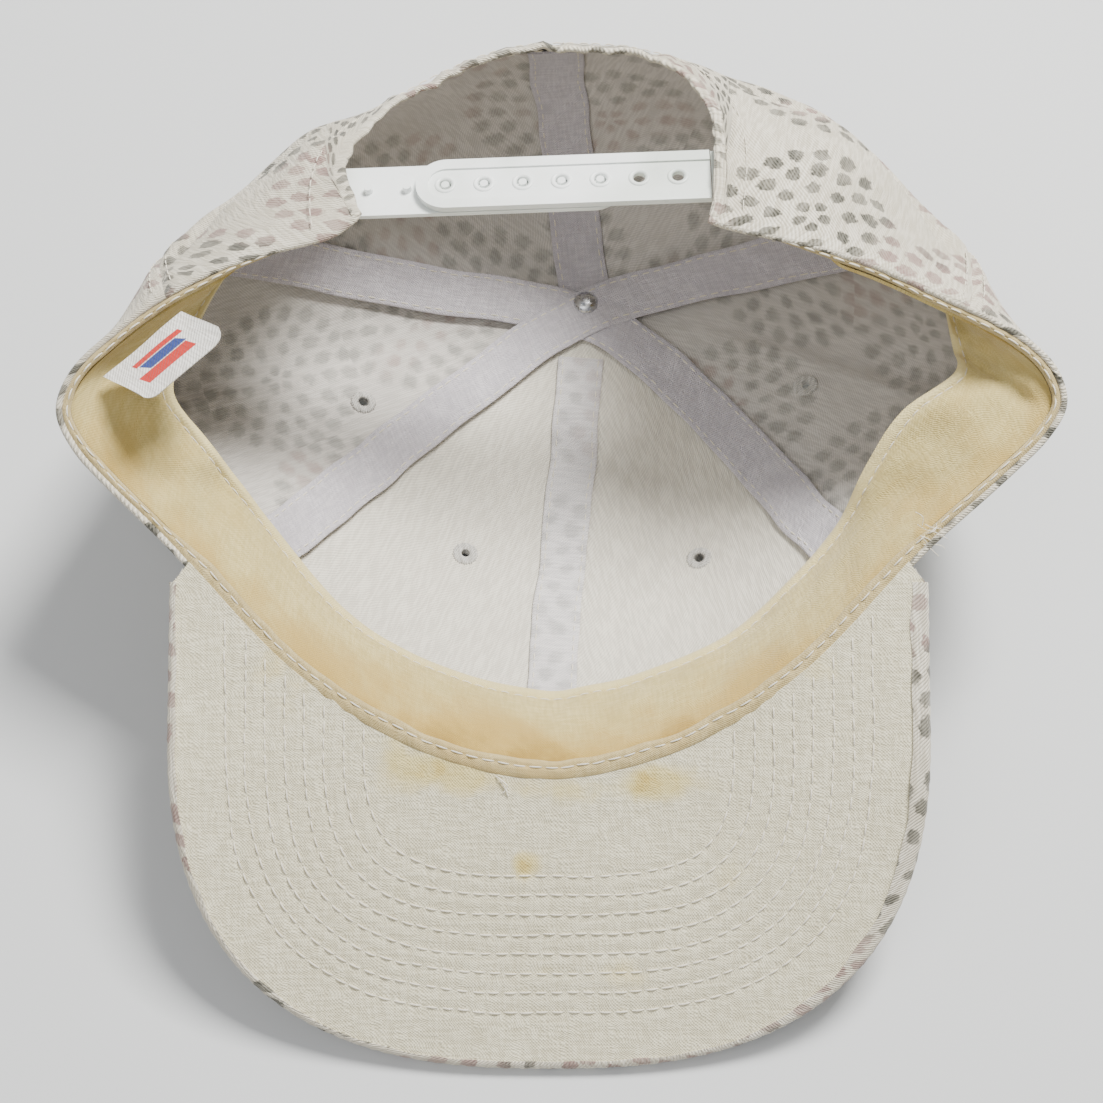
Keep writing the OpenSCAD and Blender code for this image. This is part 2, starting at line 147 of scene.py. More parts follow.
def rim(s):
    w = wrap(s)
    return np.where((w >= 0)[..., None], RIM_R.at(np.maximum(w, 0)), RIM_L.at(np.maximum(-w, 0)))


def hem(s):
    s = np.asarray(s, float)
    return np.where((s >= 0)[..., None], HEM_R.at(np.clip(s, 0, TR)), HEM_L.at(np.clip(-s, 0, TL)))


def outward(s):
    s = np.asarray(s, float)
    d = np.where((np.abs(s) > 0.5)[..., None], rim(s + 0.4) - rim(s - 0.4), [1.0, 0, 0])
    return unit(stack(d[..., 1], -d[..., 0], 0 * d[..., 0]))


def eased(tab, u):
    x, y = np.array(tab, float).T
    i = np.clip(np.searchsorted(x, u, side="left") - 1, 0, len(x) - 2)
    return y[i] + (y[i + 1] - y[i]) * smooth((u - x[i]) / (x[i + 1] - x[i]))


# by distance along the edge: the wall's slope, its pull on the curve, and the top's pull
ANGLE_R = [(0, 60), (70, 69), (110, 72), (150, 78), (170, 100), (200, 133), (240, 156), (290, 170)]
ANGLE_L = [(0, 60), (70, 69), (110, 72), (150, 78), (170, 100), (200, 130), (240, 150), (290, 170)]
REACH_R = [(0, 60), (98, 56), (150, 54), (200, 76), (240, 86), (290, 84)]
REACH_L = [(0, 60), (98, 56), (150, 54), (200, 70), (240, 78), (290, 84)]
TOP = [(0, 60), (98, 62), (150, 66), (200, 66), (240, 70), (290, 77)]
APEX = np.array([10.5, 126, -92])


def ray(s):
    """Direction in which the crown's line at s leaves the button."""
    right = np.interp(np.abs(s), [0, FORE, AFT, TR], [-94, -41, 14, 96])
    left = np.interp(np.abs(s), [0, FORE, AFT, TL], [-94, -141, -183, -264])
    z = np.radians(np.where(s >= 0, right, left))[..., None]
    return np.cos(z) * [1, 0, 0] + np.sin(z) * BACK


def crown(s, t):
    s, t = np.broadcast_arrays(wrap(s), np.asarray(t, float))
    r, q, right = rim(s), np.abs(s), s >= 0
    f = np.radians(np.where(right, eased(ANGLE_R, q), eased(ANGLE_L, q)))[..., None]
    wall = -np.cos(f) * outward(s) - np.sin(f) * Z
    b = APEX + ray(s) * eased(TOP, q)[..., None]
    c = r + wall * np.where(right, eased(REACH_R, q), eased(REACH_L, q))[..., None]
    t = t[..., None]
    k = 1 - t
    return APEX * k**3 + b * 3 * k**2 * t + c * 3 * k * t**2 + r * t**3


def normal(s, t):
    s, t = np.broadcast_arrays(np.asarray(s, float), np.asarray(t, float))
    h, e = np.minimum(t, 0.01), np.where(t > 0.99, 0, 0.01)
    return unit(np.cross(crown(s + 0.6, t) - crown(s - 0.6, t), crown(s, t + e) - crown(s, t - h)))


# the rear arch: its middle and half width, and where it ends along the edge
MID, HALF = -5.5, 47.5
ARCH_R, ARCH_L = TR - (MID + HALF), -(TL + MID - HALF)


def s_of(c):
    """Distance along the edge of a point that far right of the rear seam."""
    return np.where(c >= 0, TR - c, -(TL + c))


def arch_top(c):
    q = np.clip(np.abs(c - MID) / HALF, 0, 1)
    n = np.where(c < MID, 2.2, 2.6)
    return 1 - 0.33 * (1 - q**n) ** (1 / n)


def edge_t(s):
    s = np.asarray(s, float)
    return np.where(np.abs(s) < FLAP, 1, arch_top(np.where(s >= 0, TR - s, -(TL + s))))


def from_arch(s):
    """Distance along the edge from the arch's nearer corner."""
    return np.where(s > 0, ARCH_R - s, s - ARCH_L)


def edge_seen(s):
    """The cloth's edge, with the flaps' corners rounded off."""
    s = np.asarray(s, float)
    corner = 0.022 * np.exp(-np.maximum(from_arch(s), 0) / 3.0) * (np.abs(s) > FLAP)
    return np.minimum(edge_t(s), 1 - corner)


def pull(s, t):
    """How the flaps are drawn in over the ends of the straps."""
    s, t = np.broadcast_arrays(np.asarray(s, float), np.asarray(t, float))
    a = 5.5 * smooth(t, 0.885, 1.0) * np.exp(-(np.maximum(0, from_arch(s)) / 15) ** 2)
    a = a * (np.abs(s) > FLAP)
    # the right flap stops at the hole strap's hinge, so that the strap can swing out past it
    room = np.maximum(0, crown(s, t)[..., 0] - 43.9 + 6 * smooth(t, 0.982, 0.994))
    a = np.where(s > 0, np.minimum(a, room), a)
    return (np.where(s > 0, -1.0, 1.0) * a)[..., None] * np.array([1.0, 0, 0])


def seam_gap(s, t):
    """Distance along the cloth to the nearest panel seam."""
    s, t = np.broadcast_arrays(wrap(s), np.asarray(t, float))
    wide = np.linalg.norm(crown(s + 0.5, t) - crown(s - 0.5, t), axis=-1)
    return np.min([np.abs(s - x) for x in SEAMS], axis=0) * wide


def relief(s, t):
    """How far the creases of the worn crown stand out of its smooth shape."""
    s, t = np.broadcast_arrays(wrap(s), np.asarray(t, float))
    p, q = crown(s, t), np.abs(s)
    slack = 0.75 * ripple(p, 46, 3) + 0.32 * ripple(p, 19, 8)
    w = slack * (0.25 + 0.75 * smooth(q, 92, 120)) * smooth(seam_gap(s, t), 1, 14)
    w *= smooth(t, 0.02, 0.2) * (1 - 0.8 * smooth(t, 0.86, 0.98))
    # the long folds of both flaps
    line = 1 - 0.30 * smooth(s, 176, 232)
    w += (1.3 * bell(t, line - 0.06, 0.04) - 2.0 * bell(t, line, 0.020)) \
        * span(s, 184, 210, 246, 262)
    w -= 1.2 * bell(t, 0.93 - 0.0016 * (s - 200), 0.016) * span(s, 200, 222, 240, 256)
    line = 1 - 0.24 * smooth(-s, 182, 226)
    w += (0.9 * bell(t, line - 0.05, 0.035) - 1.5 * bell(t, line, 0.018)) \
        * span(-s, 186, 206, 228, 240)
    # puckers round the arch and at the flaps' ends
    near = bell(edge_t(s) - t, 0.02, 0.045) * (edge_t(s) < 0.999)
    w += (0.55 * ripple(p * [1, 1, 0.35], 6.5, 31) + 0.25 * ripple(p, 4.5, 33)) * near
    end = bell(from_arch(s), 3, 9) * span(t, 0.74, 0.86, 0.95, 0.99) * (q > FLAP)
    return w + 0.8 * ripple(p * [0.4, 0.4, 1], 7, 35) * end


def skin(s, t):
    """A point of the creased crown, and its outward direction."""
    n = normal(s, t)
    return crown(s, t) + n * relief(s, t), n


# ---- meshes
def colour(r, g, b):
    return tuple(((c / 255 + 0.055) / 1.055) ** 2.4 if c > 10 else c / 255 / 12.92
                 for c in (r, g, b)) + (1.0,)


def put(name, data):
    o = bpy.data.objects.new(name, data)
    bpy.context.scene.collection.objects.link(o)
    return o


def make(name, verts, faces, mats, uv, index=None, sharp=50, marks=None):
    """An object on the floor, from points in the cap's frame. marks are values of each point."""
    me = bpy.data.meshes.new(name)
    me.from_pydata(placed(verts).tolist(), [], [list(map(int, f)) for f in faces])
    for m in mats:
        me.materials.append(m)
    if index is not None:
        me.polygons.foreach_set("material_index", np.asarray(index, np.int32))
    vi = np.zeros(len(me.loops), np.int32)
    me.loops.foreach_get("vertex_index", vi)
    layer = me.uv_layers.new(name="UVMap")
    layer.data.foreach_set("uv", np.asarray(uv, np.float32)[vi].ravel())
    for key, value in (marks or {}).items():
        me.attributes.new(key, "FLOAT", "POINT").data.foreach_set("value", value)
    me.polygons.foreach_set("use_smooth", np.ones(len(me.polygons), bool))
    me.set_sharp_from_angle(angle=radians(sharp))
    me.validate()
    return put(name, me)


def unrolled(p):
    """Across and down distances of a grid, from its middle column."""
    du = np.cumsum(np.linalg.norm(np.diff(p, axis=0), axis=2), 0)
    dv = np.cumsum(np.linalg.norm(np.diff(p, axis=1), axis=2), 1)
    across = np.concatenate([np.zeros((1, p.shape[1])), du])
    down = np.concatenate([np.zeros((p.shape[0], 1)), dv], 1)
    return stack(across - across[p.shape[0] // 2], down)


def grid(name, inner, outer, mats, offset=(0, 0), uv=None, **marks):
    """Closed thin solid between two grids of points.

    Its outer face and edges take mats[0] and its inner face mats[-1]."""
    m, n = outer.shape[:2]
    o, e = m * n, (m - 1) * n
    a = (np.arange(m - 1)[:, None] * n + np.arange(n - 1)).ravel()
    j = np.arange(n - 1)
    i = np.arange(m - 1) * n
    last = i + n - 1
    top = stack(o + a, o + a + 1, o + a + n + 1, o + a + n)
    low = stack(a, a + n, a + n + 1, a + 1)
    sides = [stack(o + j + 1, o + j, j, j + 1), stack(o + e + j, o + e + j + 1, e + j + 1, e + j),
             stack(o + i, o + i + n, i + n, i), stack(o + last + n, o + last, last, last + n)]
    faces = np.concatenate([top, low, *sides])
    index = np.zeros(len(faces), int)
    index[len(top):len(top) + len(low)] = len(mats) - 1
    uv = unrolled(outer) + offset if uv is None else uv
    uv = np.concatenate([uv.reshape(-1, 2)] * 2) / 100
    marks = {k: np.r_[v.ravel(), v.ravel()].astype(np.float32) for k, v in marks.items()}
    verts = np.concatenate([inner.reshape(-1, 3), outer.reshape(-1, 3)])
    return make(name, verts, faces, mats, uv, index, marks=marks)


# a sheet's area is at least this share of its width times its length, and a narrow binding is
# cut at least this wide, in metres, with the rest of it folded under
LEAST_SHARE, NARROWEST = 0.31, 0.0105


def cut(p):
    """(width, length) and area of the flat piece that a grid was cut from, in metres."""
    u = np.linalg.norm(np.diff(p, axis=0), axis=2).sum(0).max() / 1000
    v = np.linalg.norm(np.diff(p, axis=1), axis=2).sum(1).max() / 1000
    a, b, c, d = p[:-1, :-1], p[1:, :-1], p[1:, 1:], p[:-1, 1:]
    halves = np.cross(b - a, c - a), np.cross(c - a, d - a)
    area = sum(np.linalg.norm(h, axis=2) for h in halves).sum() / 2e6
    return (round(u, 4), round(v, 4)), max(min(area, u * v), LEAST_SHARE * u * v)


def cloth(name, inner, outer, mats, nodes, rests, held="stretched", **more):
    o = grid(name, inner, outer, mats, **more)
    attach(o, "cap")
    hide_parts(*nodes)
    size, area = cut((inner + outer) / 2)
    size = (size[0], max(size[1], NARROWEST))
    area = max(area, LEAST_SHARE * size[0] * size[1])
    return o


def turned(n, k, start=0):
    """Faces between n copies of a profile of k points, set round an axis."""
    nxt = [start + (i + 1) % n * k for i in range(n)]
    return [(start + i * k + j, nxt[i] + j, nxt[i] + j + 1, start + i * k + j + 1)
            for i in range(n) for j in range(k - 1)]


def lathe(name, profile, place, mat, node, n, bumps=lambda a, prof: 0 * a):
    """Turned piece from (radius, height) points. place moves its points to the cap's frame."""
    prof = np.array(profile, float)
    a = np.linspace(0, 2 * pi, n, endpoint=False)[:, None]
    r = prof[:, 0] + bumps(a, prof) * (prof[:, 0] > 0.01)
    pts = stack(r * np.cos(a), r * np.sin(a), prof[:, 1] + 0 * r).reshape(-1, 3)
    uv = stack(pts[:, 0], pts[:, 1] + pts[:, 2]) / 100
    o = make(name, place(pts), turned(n, len(prof)), [mat], uv)
    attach(o, "cap")
    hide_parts(node)


def at_apex(p):
    return APEX + p[:, :1] * [1, 0, 0] + p[:, 1:2] * BACK + p[:, 2:] * UP


def tube(rings, start=0):
    """Faces of a six-sided tube."""
    return [(j + k, j + (k + 1) % 6, j + 6 + (k + 1) % 6, j + 6 + k)
            for j in range(start, start + 6 * (rings - 1), 6) for k in range(6)]


def stitches(name, paths, long, gap, r, seed):
    """Thread stitches along paths of (points, normals), sunk into the cloth at both ends."""
    rng = np.random.default_rng(seed)
    rings = []
    lanes = np.linspace(0, 1, 6)
    up = np.array([-0.5, 0.55, 0.95, 0.95, 0.55, -0.5])
    fat = np.array([0.6, 0.95, 1, 1, 0.95, 0.6])
    ang = (np.arange(6) * pi / 3)[:, None]
    for pts, nor in paths:
        c = chords(pts)
        count = int(c[-1] // (long + gap))
        if count < 1:
            continue
        start = (np.arange(count) + 0.5) * c[-1] / count - long / 2 + rng.normal(0, 0.10, count)
        reach = long * (1 + rng.normal(0, 0.04, count))
        u = start[:, None] + lanes * reach[:, None]
        p = stack(*(np.interp(u, c, pts[:, i]) for i in range(3)))
        q = unit(stack(*(np.interp(u, c, nor[:, i]) for i in range(3))))
        side = np.cross(unit(p[:, -1:] - p[:, :1] + 0 * p), q)
        shift = rng.normal(0, 0.07, (count, 1, 1))
        shift = shift + rng.normal(0, 0.05, (count, 1, 1)) * (lanes[:, None] - 0.5)
        mid = p + side * shift + q * (up[:, None] * r)
        spoke = q[:, :, None] * np.cos(ang) + side[:, :, None] * np.sin(ang)
        rings.append(mid[:, :, None] + spoke * (r * fat)[:, None, None])
    rings = np.concatenate(rings)
    count = len(rings)
    faces = (np.array(tube(6)) + np.arange(count)[:, None, None] * 36).reshape(-1, 4)
    uv = stack(*np.broadcast_arrays(np.arange(6) / 6, lanes[:, None] * long / 3))
    uv = np.broadcast_to(uv, (count, 6, 6, 2)).reshape(-1, 2)
    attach(make(name, rings.reshape(-1, 3), faces, [THREAD], uv, sharp=180), "cap")


# ---- materials
class Mat:
    def __init__(self, name, rough=0.9, sheen=0.25, spec=0.25):
        self.m = bpy.data.materials.new(name)
        self.m.use_nodes = True
        self.t = self.m.node_tree
        self.b = next(n for n in self.t.nodes if n.type == "BSDF_PRINCIPLED")
        self.b.inputs["Roughness"].default_value = rough
        self.b.inputs["Specular IOR Level"].default_value = spec
        self.b.inputs["Sheen Weight"].default_value = sheen
        self.b.inputs["Sheen Roughness"].default_value = 0.5
        self.cloth_uv = None

    def link(self, v, socket):
        if isinstance(v, bpy.types.NodeSocket):
            self.t.links.new(v, socket)
        elif isinstance(v, tuple) and socket.type == "VECTOR":
            socket.default_value = v[:3]
        else:
            socket.default_value = v

    def node(self, kind, out=0, props=None, **inputs):
        """A node's output. Inputs are given by name, or as i0, i1 and so on by number."""
        n = self.t.nodes.new(kind)
        for k, v in (props or {}).items():
            setattr(n, k, v)
        for k, v in inputs.items():
            self.link(v, n.inputs[int(k[1:]) if k[0] == "i" and k[1:].isdigit() else k])
        return n.outputs[out]

    def f(self, op, a, b=0.0):
        return self.node("ShaderNodeMath", props={"operation": op}, i0=a, i1=b)

    def add(self, a, b):
        return self.f("ADD", a, b)

    def sub(self, a, b):
        return self.f("SUBTRACT", a, b)

    def mul(self, a, b):
        return self.f("MULTIPLY", a, b)

    def vec(self, op, a, b):
        return self.node("ShaderNodeVectorMath", props={"operation": op}, i0=a, i1=b)

    def parts(self, vec):
        n = self.t.nodes.new("ShaderNodeSeparateXYZ")
        self.t.links.new(vec, n.inputs[0])
        return n.outputs[0], n.outputs[1]

    def uv(self):
        """The place on the cloth, in millimetres."""
        if self.cloth_uv is None:
            v = self.node("ShaderNodeUVMap", props={"uv_map": "UVMap"})
            self.cloth_uv = self.vec("MULTIPLY", v, (100.0, 100.0, 100.0))
        return self.cloth_uv

    def noise(self, scale, detail=2.0, rough=0.5, stretch=None):
        """Noise on the cloth, with features of that many millimetres, as 0 to 1."""
        vec = self.uv()
        if stretch:
            vec = self.vec("MULTIPLY", vec, (*stretch, 1.0))
        n = self.node("ShaderNodeTexNoise", Vector=vec, Scale=1 / scale, Detail=detail,
                      Roughness=rough)
        return self.ramp(n, 0.35, 0.65)

    def ramp(self, v, lo, hi, a=0.0, b=1.0):
        return self.node("ShaderNodeMapRange", props={"interpolation_type": "SMOOTHSTEP"},
                         i0=v, i1=lo, i2=hi, i3=a, i4=b)

    def mix(self, fac, a, b):
        n = self.t.nodes.new("ShaderNodeMix")
        n.data_type = "RGBA"
        self.link(fac, n.inputs[0])
        self.link(a, n.inputs[6])
        self.link(b, n.inputs[7])
        return n.outputs[2]

    def mark(self, name):
        return self.node("ShaderNodeAttribute", out=2, props={"attribute_name": name})

    def plain(self, pitch):
        """Height of a plain weave, with uneven yarns."""
        x, y = self.parts(self.uv())
        wob = self.mul(self.noise(7), 0.8)
        a, b = (self.f("SINE", self.mul(self.add(c, wob), 2 * pi / pitch)) for c in (x, y))
        yarn = self.add(self.noise(0.8, 1, stretch=(1.0, 0.16)),
                        self.noise(0.8, 1, stretch=(0.16, 1.0)))
        return self.add(self.mul(self.mul(a, b), 0.6), self.mul(yarn, 0.5))

    def twill(self, pitch):
        """Height of a diagonal twill rib."""
        x, y = self.parts(self.uv())
        d = self.add(self.add(x, y), self.mul(self.noise(6), 0.45))
        rib = self.f("SINE", self.mul(d, 2 * pi / pitch / sqrt(2)))
        return self.add(self.mul(rib, 0.6), self.noise(0.8, 1, stretch=(1.0, 0.12)))

    def dots(self, shift):
        """Clusters of long dots set in rings: a dot's outline is at 1. Also the radius."""
        ring, cell, spacing, half_long, half_wide = 6.2, 50.0, 6.4, 2.55, 2.05
        vec = self.vec("ADD", self.uv(), (*shift, 0.0))
        v = self.t.nodes.new("ShaderNodeTexVoronoi")
        v.voronoi_dimensions = "2D"
        self.link(vec, v.inputs["Vector"])
        v.inputs["Scale"].default_value = 1 / cell
        v.inputs["Randomness"].default_value = 0.22
        x, y = self.parts(self.vec("SUBTRACT", vec, v.outputs["Position"]))
        x = self.add(x, self.mul(self.sub(self.noise(12, 1), 0.5), 0.9))
        y = self.add(y, self.mul(self.sub(self.noise(14, 1), 0.5), 0.9))
        r = self.f("SQRT", self.add(self.mul(x, x), self.mul(y, y)))
        k = self.f("FLOOR", self.f("DIVIDE", r, ring))
        rk = self.mul(self.add(k, 0.5), ring)
        n = self.f("MAXIMUM", self.f("ROUND", self.mul(rk, 2 * pi / spacing)), 5.0)
        turns = self.f("DIVIDE", self.f("ARCTAN2", y, x), 2 * pi)
        off = self.sub(self.f("FRACT", self.add(self.mul(turns, n), self.mul(k, 0.37))), 0.5)
        across = self.mul(off, self.f("DIVIDE", self.mul(rk, 2 * pi), n))
        e = [self.f("POWER", self.f("DIVIDE", self.f("ABSOLUTE", d), half), 2.0)
             for d, half in ((self.sub(r, rk), half_long), (across, half_wide))]
        grow = self.add(0.62, self.mul(self.ramp(r, 0, 20), 0.38))
        e = self.f("DIVIDE", self.f("SQRT", self.add(*e)), grow)
        return self.add(e, self.mul(self.sub(self.noise(1.3), 0.5), 0.3)), r

    def finish(self, base, height, bump, dist=0.0003):
        self.link(base, self.b.inputs["Base Color"])
        n = self.node("ShaderNodeBump", Strength=bump, Distance=dist, Height=height)
        self.t.links.new(n, self.b.inputs["Normal"])
        return self.m


def fabric(name, base, dark, weave, pitch, bump, fleck=0.35, sheen=0.25, stain=(), hem=None):
    """Woven cloth. stain rows are colour, where it starts and is full, and its blotch size."""
    m = Mat(name, sheen=sheen)
    h = m.plain(pitch) if weave == "plain" else m.twill(pitch)
    c = m.mix(m.ramp(h, -0.4, 1.7), dark, base)
    c = m.mix(m.mul(m.noise(26, 3), fleck), c, dark)
    for tint, low, high, size in stain:
        mask = m.add(m.mark("stain"), m.mul(m.sub(m.noise(size, 4, 0.6), 0.5), 0.38))
        c = m.mix(m.ramp(mask, low, high), c, tint)
    if hem:
        c = m.mix(m.mul(m.mark("hem"), 0.6), c, hem)
    return m.finish(c, m.add(h, m.mul(m.noise(2.4, 3), 0.6)), bump)


def printed(name, strength, blur, base, dark, ink, pitch, bump, shift=(0, 0)):
    """Twill with the print of dots. blur is how soft a dot's outline is."""
    m = Mat(name, sheen=0.2)
    h = m.twill(pitch)
    c = m.mix(m.ramp(h, -0.3, 1.5), dark, base)
    c = m.mix(m.mul(m.noise(30, 3), 0.45), c, dark)
    e, r = m.dots(shift)
    mask = m.mul(m.ramp(e, 1 + blur, 1 - blur), m.ramp(r, 25.5, 24.5))
    worn = m.add(0.72, m.mul(m.noise(8, 3), 0.28))
    worn = m.mul(worn, m.ramp(h, -0.5, 0.3, 1.0, 0.82))
    tint = m.mix(m.mul(m.ramp(m.noise(60, 1), 0.62, 0.8), 0.6), ink, colour(176, 140, 134))
    return m.finish(m.mix(m.mul(m.mul(mask, worn), strength), c, tint), h, bump)


OUTER = printed("outer_twill_print", 1.0, 0.14, colour(234, 228, 211), colour(190, 182, 162),
                colour(46, 48, 41), 0.72, 0.6)
INNER = printed("inner_twill_show_through", 0.6, 0.5, colour(214, 209, 202),
                colour(186, 181, 174), colour(104, 106, 101), 0.62, 0.3)
SHOW = printed("front_tape_show_through", 0.4, 0.5, colour(232, 228, 226),
               colour(204, 200, 200), colour(110, 112, 107), 0.6, 0.5, shift=(4, 9))
LINING = fabric("front_lining_weave", colour(234, 229, 214), colour(202, 196, 182), "twill",
                0.7, 0.4, fleck=0.2)
TAPE = fabric("seam_tape_fleece", colour(226, 221, 225), colour(186, 180, 187), "plain",
              0.7, 0.7, fleck=0.4, sheen=0.45)
BAND = fabric("sweatband_cotton", colour(226, 209, 148), colour(190, 171, 108), "plain",
              0.62, 0.5, fleck=0.4, sheen=0.3, hem=colour(238, 222, 164),
              stain=[(colour(188, 158, 84), 0.25, 0.9, 30), (colour(156, 124, 54), 0.75, 1.3, 15)])
PIPE = fabric("edge_binding_cotton", colour(216, 198, 148), colour(176, 156, 106), "plain",
              0.6, 0.5, fleck=0.4, stain=[(colour(196, 170, 112), 0.45, 1.1, 14)])
VISOR = fabric("visor_underside_cotton", colour(240, 234, 206), colour(196, 188, 158), "plain",
               0.8, 0.5, fleck=0.2,
               stain=[(colour(214, 199, 140), 0.28, 0.9, 14), (colour(190, 164, 84), 0.75, 1.5, 5)])
THREAD = fabric("white_thread", colour(246, 240, 224), colour(222, 214, 194), "twill",
                0.5, 0.3, sheen=0.3)
EYE = fabric("eyelet_thread", colour(222, 219, 212), colour(172, 169, 162), "twill",
             0.6, 0.6, sheen=0.4)
BOARD = fabric("visor_board_pulp", colour(190, 186, 176), colour(150, 146, 138), "plain",
               2.0, 0.3)
BACKING = fabric("label_backing", colour(226, 222, 212), colour(200, 194, 180), "twill",
                 0.7, 0.35)


def hard(name, rough, grain, detail):
    """Smooth material, with a fine grain that its roughness follows."""
    m = Mat(name, rough=0.32, sheen=0.0, spec=0.5)
    place = m.t.nodes.new("ShaderNodeTexCoord").outputs["Object"]
    n = m.node("ShaderNodeTexNoise", Vector=place, Scale=grain, Detail=detail)
    m.link(m.ramp(n, 0.3, 0.7, *rough), m.b.inputs["Roughness"])
    return m, place, n


m, place, n = hard("moulded_snap_plastic", (0.26, 0.42), 260.0, 3.0)
m.b.inputs["Subsurface Weight"].default_value = 0.25
m.b.inputs["Subsurface Radius"].default_value = (0.004, 0.004, 0.004)
w = m.node("ShaderNodeTexNoise", Vector=place, Scale=34.0, Detail=2.0)
SNAP = m.finish(m.mix(m.ramp(w, 0.35, 0.7), colour(244, 248, 246), colour(214, 220, 212)),
                n, 0.08, 0.0002)

m, place, n = hard("rivet_metal", (0.18, 0.4), 900.0, 4.0)
m.b.inputs["Metallic"].default_value = 1.0
METAL = m.finish(m.mix(m.ramp(n, 0.3, 0.75), colour(176, 178, 184), colour(214, 214, 216)),
                 n, 0.1, 0.0001)


# ---- crown panels
# where the cloth begins beside the button, and from where its rows spread to meet the arch
START, LEVEL = 0.015, 0.62
# each eyelet's place, and how far inside the crown its thread ends
VENTS = {"eyelet_front_left": (-44, 0.53, 1.1), "eyelet_front_right": (58, 0.57, 1.1),
         "eyelet_side_left": (-128, 0.40, 0.3), "eyelet_side_right": (138, 0.41, 0.3)}


def columns(a, b, step, vent):
    """Distances along the edge from a to b, closer together round the vent."""
    x = VENTS[vent][0]
    out = np.linspace(a, b, max(2, int(abs(b - a) / step)) + 1)
    out = [v for v in out if abs(v - x) > 5.2 or v in (a, b)]
    return np.array(sorted(out + list(np.linspace(x - 5, x + 5, 13))))


def row_steps(vent):
    """Steps from the button to the edge, 0 to 1, closer together round the vent."""
    v = list(np.r_[np.linspace(0, LEVEL, 36)[:-1], np.linspace(LEVEL, 1, 30)])
    if vent:
        x = (VENTS[vent][1] - START) / (LEVEL - START) * LEVEL
        v = [a for a in v if abs(a - x) > 0.052 or a < 0.02]
        v += list(np.linspace(x - 0.05, x + 0.05, 13))
    return np.array(sorted(v))


def pierce(o, vent):
    """Opens the cloth behind an eyelet."""
    p, n = skin(*VENTS[vent][:2])
    n = unit(TURN @ n)
    me = o.data
    centre = np.zeros(len(me.polygons) * 3)
    me.polygons.foreach_get("center", centre)
    d = centre.reshape(-1, 3) - placed(p)
    h = d @ n
    near = (np.linalg.norm(d - h[:, None] * n, axis=1) < 0.0021) & (np.abs(h) < 0.006)
    bm = bmesh.new()
    bm.from_mesh(me)
    bm.faces.ensure_lookup_table()
    bmesh.ops.delete(bm, geom=[bm.faces[i] for i in np.flatnonzero(near)], context="FACES")
    bm.to_mesh(me)
    bm.free()


def panel(name, cols, nodes, offset, vent=None):
    v = row_steps(vent)
    te = edge_seen(cols)[:, None]
    t = np.where(v <= LEVEL, START + (LEVEL - START) * v / LEVEL,
                 LEVEL + (te - LEVEL) * (v - LEVEL) / (1 - LEVEL))
    s = cols[:, None] + 0 * t
    base, n, w, gap = crown(s, t) + pull(s, t), normal(s, t), relief(s, t), seam_gap(s, t)
    # the cloth lies double beside a seam and dips at the seam itself
    seam = 0.35 * (1 - smooth(gap, 4.5, 7)) * smooth(t, 0.03, 0.2) - 0.8 * bell(gap, 0, 1.1)
    # the turned edge follows e: ne points out of the cloth there, and b off its end
    ne = n[:, -1]
    e = base[:, -1] + ne * w[:, -1:]
    b = unit(np.cross(ne, unit(np.gradient(e, axis=0))))
    q = np.abs(cols)[:, None]
    down = unit(crown(s[:, -1], t[:, -1]) - crown(s[:, -1], t[:, -1] - 0.01))
    steep = 1 - np.abs(np.sum(b * down, -1))[:, None]
    e = e - b * 1.8 * (1 - smooth(q, 100, 108)) + b * 1.2 * smooth(steep, 0.15, 0.7) * (q > 200)
    arched = smooth(1 - te, 0.004, 0.03)
    waves = np.sin(chords(e)[:, None] * 2 * pi / 3.9 + 3 * ripple(e, 11, 4)[:, None])
    pleat = (0.13 + 0.22 * arched) * waves * smooth(q, 105, 140)
    arc = np.linspace(0, pi, 11)[1:]
    fat = 0.8 + (0.75 * arched + pleat) * np.sin(arc)
    high = 0.1 + (0.8 + 0.35 * arched * np.sin(arc)) * np.cos(arc)
    under = np.array([1.2, 2.6, 4.2, 5.8])

    def at_edge(off, out):
        return e[:, None] + b[:, None] * off[..., None] + ne[:, None] * np.asarray(out)[..., None]

    outer = [base + n * (0.9 + w + seam)[..., None], at_edge(fat * np.sin(arc), high),
             at_edge(-under, -0.7)]
    inner = [base + n * (0.3 + w)[..., None], at_edge(0.2 * np.sin(arc), 0.1 + 0.2 * np.cos(arc)),
             at_edge(-under, -0.1)]
    o = cloth(name, np.concatenate(inner, 1), np.concatenate(outer, 1), [OUTER, INNER], nodes,
              "top_button", offset=offset)
    if vent:
        pierce(o, vent)


def lining(hand, a, b, offset):
    vent = "eyelet_front_" + hand
    t = 0.03 + 0.93 * row_steps(vent)
    s = columns(a, b, 2, vent)[:, None] + 0 * t
    base, n = crown(s, t), normal(s, t)
    w = relief(s, t) + 0.12 * ripple(base, 9, 12)
    low, top = (base + n * (w - depth)[..., None] for depth in (0.2, 0.8))
    o = cloth("front_lining_" + hand, low, top, [LINING], ["buckram_" + hand],
              "front_cloth_left", offset=offset)
    pierce(o, vent)


